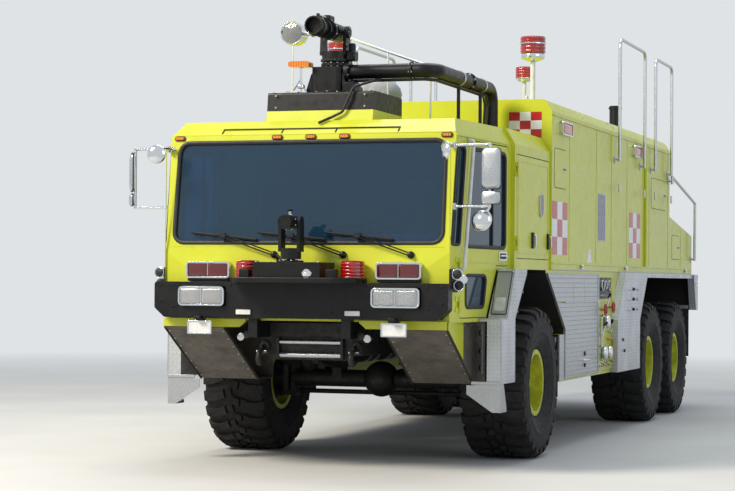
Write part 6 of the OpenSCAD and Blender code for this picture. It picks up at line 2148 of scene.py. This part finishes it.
class TRUCK_OT_rear(bpy.types.Operator):
    """Adds the fittings of the rear and of the roof's walkway and hatches"""
    bl_idname = "truck.rear"
    bl_label = "Rear and roof"

    def execute(self, context):
        names = ("black_powder_coat", "brushed_steel", "polished_chrome", "plain_aluminium", "seal_rubber",
            "lime_enamel",
            "red_lens", "amber_lens", "grip_deck", "white_enamel")
        piece = Piece("rear_and_roof_fittings", *names)
        self.tail(piece)
        self.roof_deck(piece)
        piece.finish(sharp=38, bevel=0.0006)
        return {"FINISHED"}

    def tail(self, piece):
        # radiator louvres in a bright frame
        piece.frame = facing_rear(GRILLE_FACE)
        outline = rectangle((-0.900, 1.790), (0.900, 2.110), 0.020)
        piece.ring(outline, grown(outline, -0.024), "Z", -0.012, -0.001, 3)
        for k in range(9):
            z = 1.826 + 0.031 * k
            piece.block((-0.870, z, -0.030), (0.870, z + 0.008, -0.002), 0, 0.001)
        for x in (-0.45, 0.0, 0.45):
            piece.block((x - 0.010, 1.812, -0.014), (x + 0.010, 2.088, -0.001), 3, 0.002)
        for x in (-0.888, -0.44, 0.0, 0.44, 0.888):
            for z in (1.800, 2.100):
                piece.bolt((x, z, -0.0065), Z_AXIS, 0.010, 1)
        # closing panel: frame, hinges, two latches
        piece.frame = facing_rear(TAIL_FACE)
        outline = rectangle((-0.720, 1.285), (0.720, 1.660), 0.020)
        piece.ring(outline, grown(outline, -0.006), "Z", -0.002, 0.003, 4)
        for x in (-0.50, 0.0, 0.50):
            piece.rod((x - 0.050, 1.288, 0.006), (x + 0.050, 1.288, 0.006), 0.007, 1, 10)
        for x in (-0.36, 0.36):
            piece.block((x - 0.045, 1.600, -0.001), (x + 0.045, 1.635, 0.008), 1, 0.004)
            piece.turned([(0.012, 0), (0.012, 0.006), (0.0, 0.008)], (x, 1.617, 0.008), Z_AXIS, 2, 14)
        # bright rims and screws of the tail lamps, blank plate with its lamp
        for x in (-1.25, -1.06, -0.87, 0.87, 1.06, 1.25):
            piece.turned([(0.061, -0.010), (0.070, -0.010), (0.070, 0.004), (0.062, 0.008), (0.059, 0.004)],
                (x, 1.500, 0.0),
                Z_AXIS, 2, 32)
            for a in (0.5, 2.6, 4.7):
                piece.bolt((x + math.cos(a) * 0.065, 1.500 + math.sin(a) * 0.065, 0.006), Z_AXIS, 0.006, 1)
        piece.block((-0.170, 1.400, -0.001), (0.170, 1.520, 0.006), 9, 0.003)
        piece.block((-0.050, 1.530, -0.001), (0.050, 1.555, 0.016), 0, 0.005)
        # red reflectors
        for x in (-1.40, 1.40):
            piece.prism(rectangle((x - 0.030, 1.340), (x + 0.030, 1.400), 0.006), "Z", -0.004, 0.004, 6)
        # hatch in the tank's rear wall, and the two lids of the engine hood
        piece.frame = facing_rear(HATCH_FACE)
        self.lid(piece, (-0.700, 2.500), (0.700, 2.840))
        along, across = Vector((0, 1.610, -0.205)).normalized(), Vector(X_AXIS)
        turn = Matrix((across, along, across.cross(along))).transposed().to_4x4()
        piece.frame = Matrix.Translation(at(0, HATCH_FACE, 2.400)) @ turn
        self.lid(piece, (-0.900, 0.120), (-0.030, 1.480))
        self.lid(piece, (0.030, 0.120), (0.900, 1.480))

    def lid(self, piece, low, high):
        """A flush lid: its seam, a hinge on the low side, a latch and a handle on the high side."""
        outline = rectangle(low, high, 0.020)
        piece.ring(outline, grown(outline, -0.006), "Z", -0.002, 0.003, 4)
        middle, wide = (low[0] + high[0]) / 2, high[0] - low[0]
        for share in (-0.3, 0.3):
            x = middle + wide * share
            piece.rod((x - 0.045, low[1] + 0.003, 0.006), (x + 0.045, low[1] + 0.003, 0.006), 0.007, 1, 10)
        piece.block((middle - 0.040, high[1] - 0.070, -0.001), (middle + 0.040, high[1] - 0.035, 0.007), 1,
            0.004)
        piece.turned([(0.011, 0), (0.011, 0.005), (0.0, 0.007)], (middle, high[1] - 0.052, 0.007), Z_AXIS, 2,
            14)
        for k in range(5):
            x = low[0] + wide * (k + 0.5) / 5
            piece.bolt((x, high[1] + 0.014, 0), Z_AXIS, 0.008, 1)

    def roof_deck(self, piece):
        piece.frame = Matrix.Identity(4)
        # anti-slip strips, hatch clamps, roof seams and lifting eyes
        for side in SIDES:
            piece.block(at(side * 0.74 - 0.190, 2.75, TANK_TOP), at(side * 0.74 + 0.190, 6.60,
                TANK_TOP + 0.003), 8, 0.001)
            piece.block(at(side * 0.60 - 0.180, 0.78, TANK_TOP), at(side * 0.60 + 0.180, 1.50,
                TANK_TOP + 0.003), 8, 0.001)
            for y in (1.05, 6.70):
                piece.turned([(0.026, -0.008), (0.040, -0.008), (0.040, 0.008), (0.026, 0.008)],
                    at(side * 1.10, y, TANK_TOP + 0.030), X_AXIS, 1, 20)
                piece.block(at(side * 1.10 - 0.020, y - 0.050, TANK_TOP),
                    at(side * 1.10 + 0.020, y + 0.050, TANK_TOP + 0.008), 1,
                    0.002)
        for y in (1.80, 2.68, 4.05, 5.90):
            piece.block(at(-1.15, y - 0.012, TANK_TOP), at(1.15, y + 0.012, TANK_TOP + 0.003), 5, 0.001)
        for y in (2.30, 5.30):
            for k in range(6):
                a = math.tau * (k + 0.5) / 6
                rim = at(math.cos(a) * 0.330, y + math.sin(a) * 0.330, TANK_TOP)
                piece.rod(rim, rim + Vector((0, 0, 0.070)), 0.010, 1, 8)
                piece.turned([(0.022, 0.0), (0.022, 0.014), (0.012, 0.022), (0.0, 0.022)],
                    rim + Vector((0, 0, 0.070)), Z_AXIS,
                    2, 14)
            piece.rod(at(-0.080, y, 3.395), at(0.080, y, 3.395), 0.009, 2, 10)
            for x in (-0.080, 0.080):
                piece.rod(at(x, y, 3.378), at(x, y, 3.396), 0.009, 2, 8)
            piece.block(at(-0.060, y + 0.320, TANK_TOP), at(0.060, y + 0.390, TANK_TOP + 0.050), 1, 0.006)
        # feet of the roof rails
        for y in (3.55, 4.95, 5.60, 6.65):
            for side in SIDES:
                foot = at(side * 1.495, y, 2.60)
                piece.block(foot + Vector((-0.006, -0.030, -0.045)), foot + Vector((0.006, 0.030, 0.045)), 1,
                    0.002)


class TRUCK_OT_interior(bpy.types.Operator):
    """Adds the instruments, controls, grab handles, visors and dome lamp inside the cab"""
    bl_idname = "truck.interior"
    bl_label = "Cab interior"

    def execute(self, context):
        names = ("moulded_plastic", "grey_plastic", "red_enamel", "polished_chrome", "white_enamel",
            "seal_rubber",
            "clear_lens", "seat_vinyl")
        piece = Piece("cab_interior_fittings", *names)
        # red case and pale cover behind the windshield
        piece.block(at(-0.280, -1.560, 1.900), at(0.090, -1.430, 2.085), 2, 0.030)
        piece.block(at(0.400, -1.640, 1.905), at(1.000, -1.500, 1.985), 4, 0.020)
        # round instruments over the wheel, switch rows in the middle
        for k in range(5):
            place = at(0.42 + 0.11 * k, -1.385, 1.985)
            piece.turned([(0.044, -0.012), (0.046, 0.0), (0.046, 0.010), (0.040, 0.012), (0.038, 0.006)],
                place, (0, 1, 0.3), 3, 24)
            piece.turned([(0.038, 0.004), (0.0, 0.004)], place, (0, 1, 0.3), 4, 24)
        for row in range(2):
            for k in range(8):
                place = at(-0.22 + 0.055 * k, -1.375, 1.945 + 0.05 * row)
                piece.block(place, place + Vector((0.032, 0.014, 0.028)), 5, 0.003)
        # grab handles on the corner posts, sun visors, dome lamps
        for side in SIDES:
            piece.pipe([at(side * 1.13, -1.62, 2.10), at(side * 1.11, -1.55, 2.13),
                at(side * 1.11, -1.55, 2.42),
                at(side * 1.13, -1.62, 2.45)], 0.012, 5, 8, 0.02)
            piece.block(at(side * 0.60 - 0.26, -1.66, 2.70), at(side * 0.60 + 0.26, -1.50, 2.725), 1, 0.010)
        piece.turned([(0.070, 0.0), (0.070, -0.012), (0.055, -0.022), (0.0, -0.024)], at(0, -1.20, 2.860),
            Z_AXIS, 6, 28)
        piece.finish(sharp=38)
        return {"FINISHED"}


class TRUCK_OT_underbody(bpy.types.Operator):
    """Adds the dampers, brake chambers, air tanks, exhaust and lines under the truck"""
    bl_idname = "truck.underbody"
    bl_label = "Underbody"

    def execute(self, context):
        names = ("chassis_paint", "brushed_steel", "seal_rubber", "black_powder_coat", "red_enamel",
            "plain_aluminium")
        piece = Piece("underbody_fittings", *names)
        # how far ahead of its axle a brake chamber sits
        reach = 0.17
        for side in SIDES:
            piece.frame = mirror(side)
            # brake chambers and dampers at each axle
            for y in (0.0, MID_AXLE - FRONT_AXLE, REAR_AXLE - FRONT_AXLE):
                piece.turned([(0.020, -0.02), (0.075, 0.0), (0.085, 0.020), (0.085, 0.050), (0.075, 0.075),
                    (0.050, 0.110),
                    (0.0, 0.112)], at(0.640, y - reach, 0.830), (0, -1, 0.15), 0, 24)
                piece.rod(at(0.640, y - reach + 0.01, 0.830), at(0.660, y - 0.030, 0.800), 0.012, 1, 8)
                piece.pipe([at(0.640, y - reach - 0.100, 0.845), at(0.600, y - reach - 0.160, 0.900),
                    at(0.520, y - reach - 0.140, 1.020), at(0.430, y - reach - 0.140, 1.060)], 0.010, 2, 8,
                    0.04)
                piece.rod(at(0.600, y + 0.160, 0.700), at(0.560, y + 0.220, 0.900), 0.032, 0, 16)
                piece.rod(at(0.560, y + 0.220, 0.900), at(0.530, y + 0.265, 1.060), 0.042, 0, 16)
            # air lines along the rail
            for k in range(3):
                piece.rod(at(0.452, 1.20, 0.980 + 0.026 * k), at(0.452, 4.30, 0.980 + 0.026 * k), 0.007, 2, 6)
            # air tanks across the outside of the rail
            for y in (1.40, 2.05):
                piece.turned([(0.0, -0.28), (0.080, -0.265), (0.118, -0.225), (0.122, -0.20), (0.122, 0.20),
                    (0.118, 0.225),
                    (0.080, 0.265), (0.0, 0.28)], at(0.640, y, 0.900), Y_AXIS, 0, 28)
                for dy in (-0.12, 0.12):
                    piece.turned([(0.121, -0.014), (0.126, -0.014), (0.126, 0.014), (0.121, 0.014)],
                        at(0.640, y + dy, 0.900),
                        Y_AXIS, 1, 28)
        piece.frame = Matrix.Identity(4)
        # silencer and exhaust pipe on the right
        piece.turned([(0.0, -0.42), (0.120, -0.41), (0.140, -0.38), (0.140, 0.38), (0.120, 0.41),
            (0.0, 0.42)],
            at(-0.700, 3.70, 0.930), Y_AXIS, 1, 28)
        piece.pipe([at(-0.700, 3.30, 0.930), at(-0.700, 3.00, 0.930), at(-0.620, 2.80, 0.960),
            at(-0.500, 2.70, 0.980)], 0.045,
            1, 14, 0.10)
        piece.finish(sharp=38)
        return {"FINISHED"}


class TRUCK_PT_panel(bpy.types.Panel):
    """Lists the settings and the steps of the truck"""
    bl_idname = "TRUCK_PT_panel"
    bl_label = "Fire truck"
    bl_space_type = "VIEW_3D"
    bl_region_type = "UI"
    bl_category = "Fire truck"

    def draw(self, context):
        settings = context.scene.fire_truck
        for name in settings.bl_rna.properties.keys():
            if name not in ("rna_type", "name"):
                self.layout.prop(settings, name)
        for step in STEPS:
            self.layout.operator(step.bl_idname)


STEPS = (TRUCK_OT_camera, TRUCK_OT_stage, TRUCK_OT_finishes, TRUCK_OT_tyres, TRUCK_OT_glazing,
    TRUCK_OT_lamps, TRUCK_OT_wheels, TRUCK_OT_bumper, TRUCK_OT_cab, TRUCK_OT_body, TRUCK_OT_pumps,
    TRUCK_OT_fenders, TRUCK_OT_turrets, TRUCK_OT_rear, TRUCK_OT_interior, TRUCK_OT_underbody)


def register():
    for kind in (FireTruckSettings, *STEPS, TRUCK_PT_panel):
        bpy.utils.register_class(kind)
    bpy.types.Scene.fire_truck = PointerProperty(type=FireTruckSettings)


def unregister():
    del bpy.types.Scene.fire_truck
    for kind in (TRUCK_PT_panel, *STEPS[::-1], FireTruckSettings):
        bpy.utils.unregister_class(kind)


def main():
    register()
    for step in STEPS:
        group, name = step.bl_idname.split(".")
        getattr(getattr(bpy.ops, group), name)()


if __name__ == "__main__":
    main()
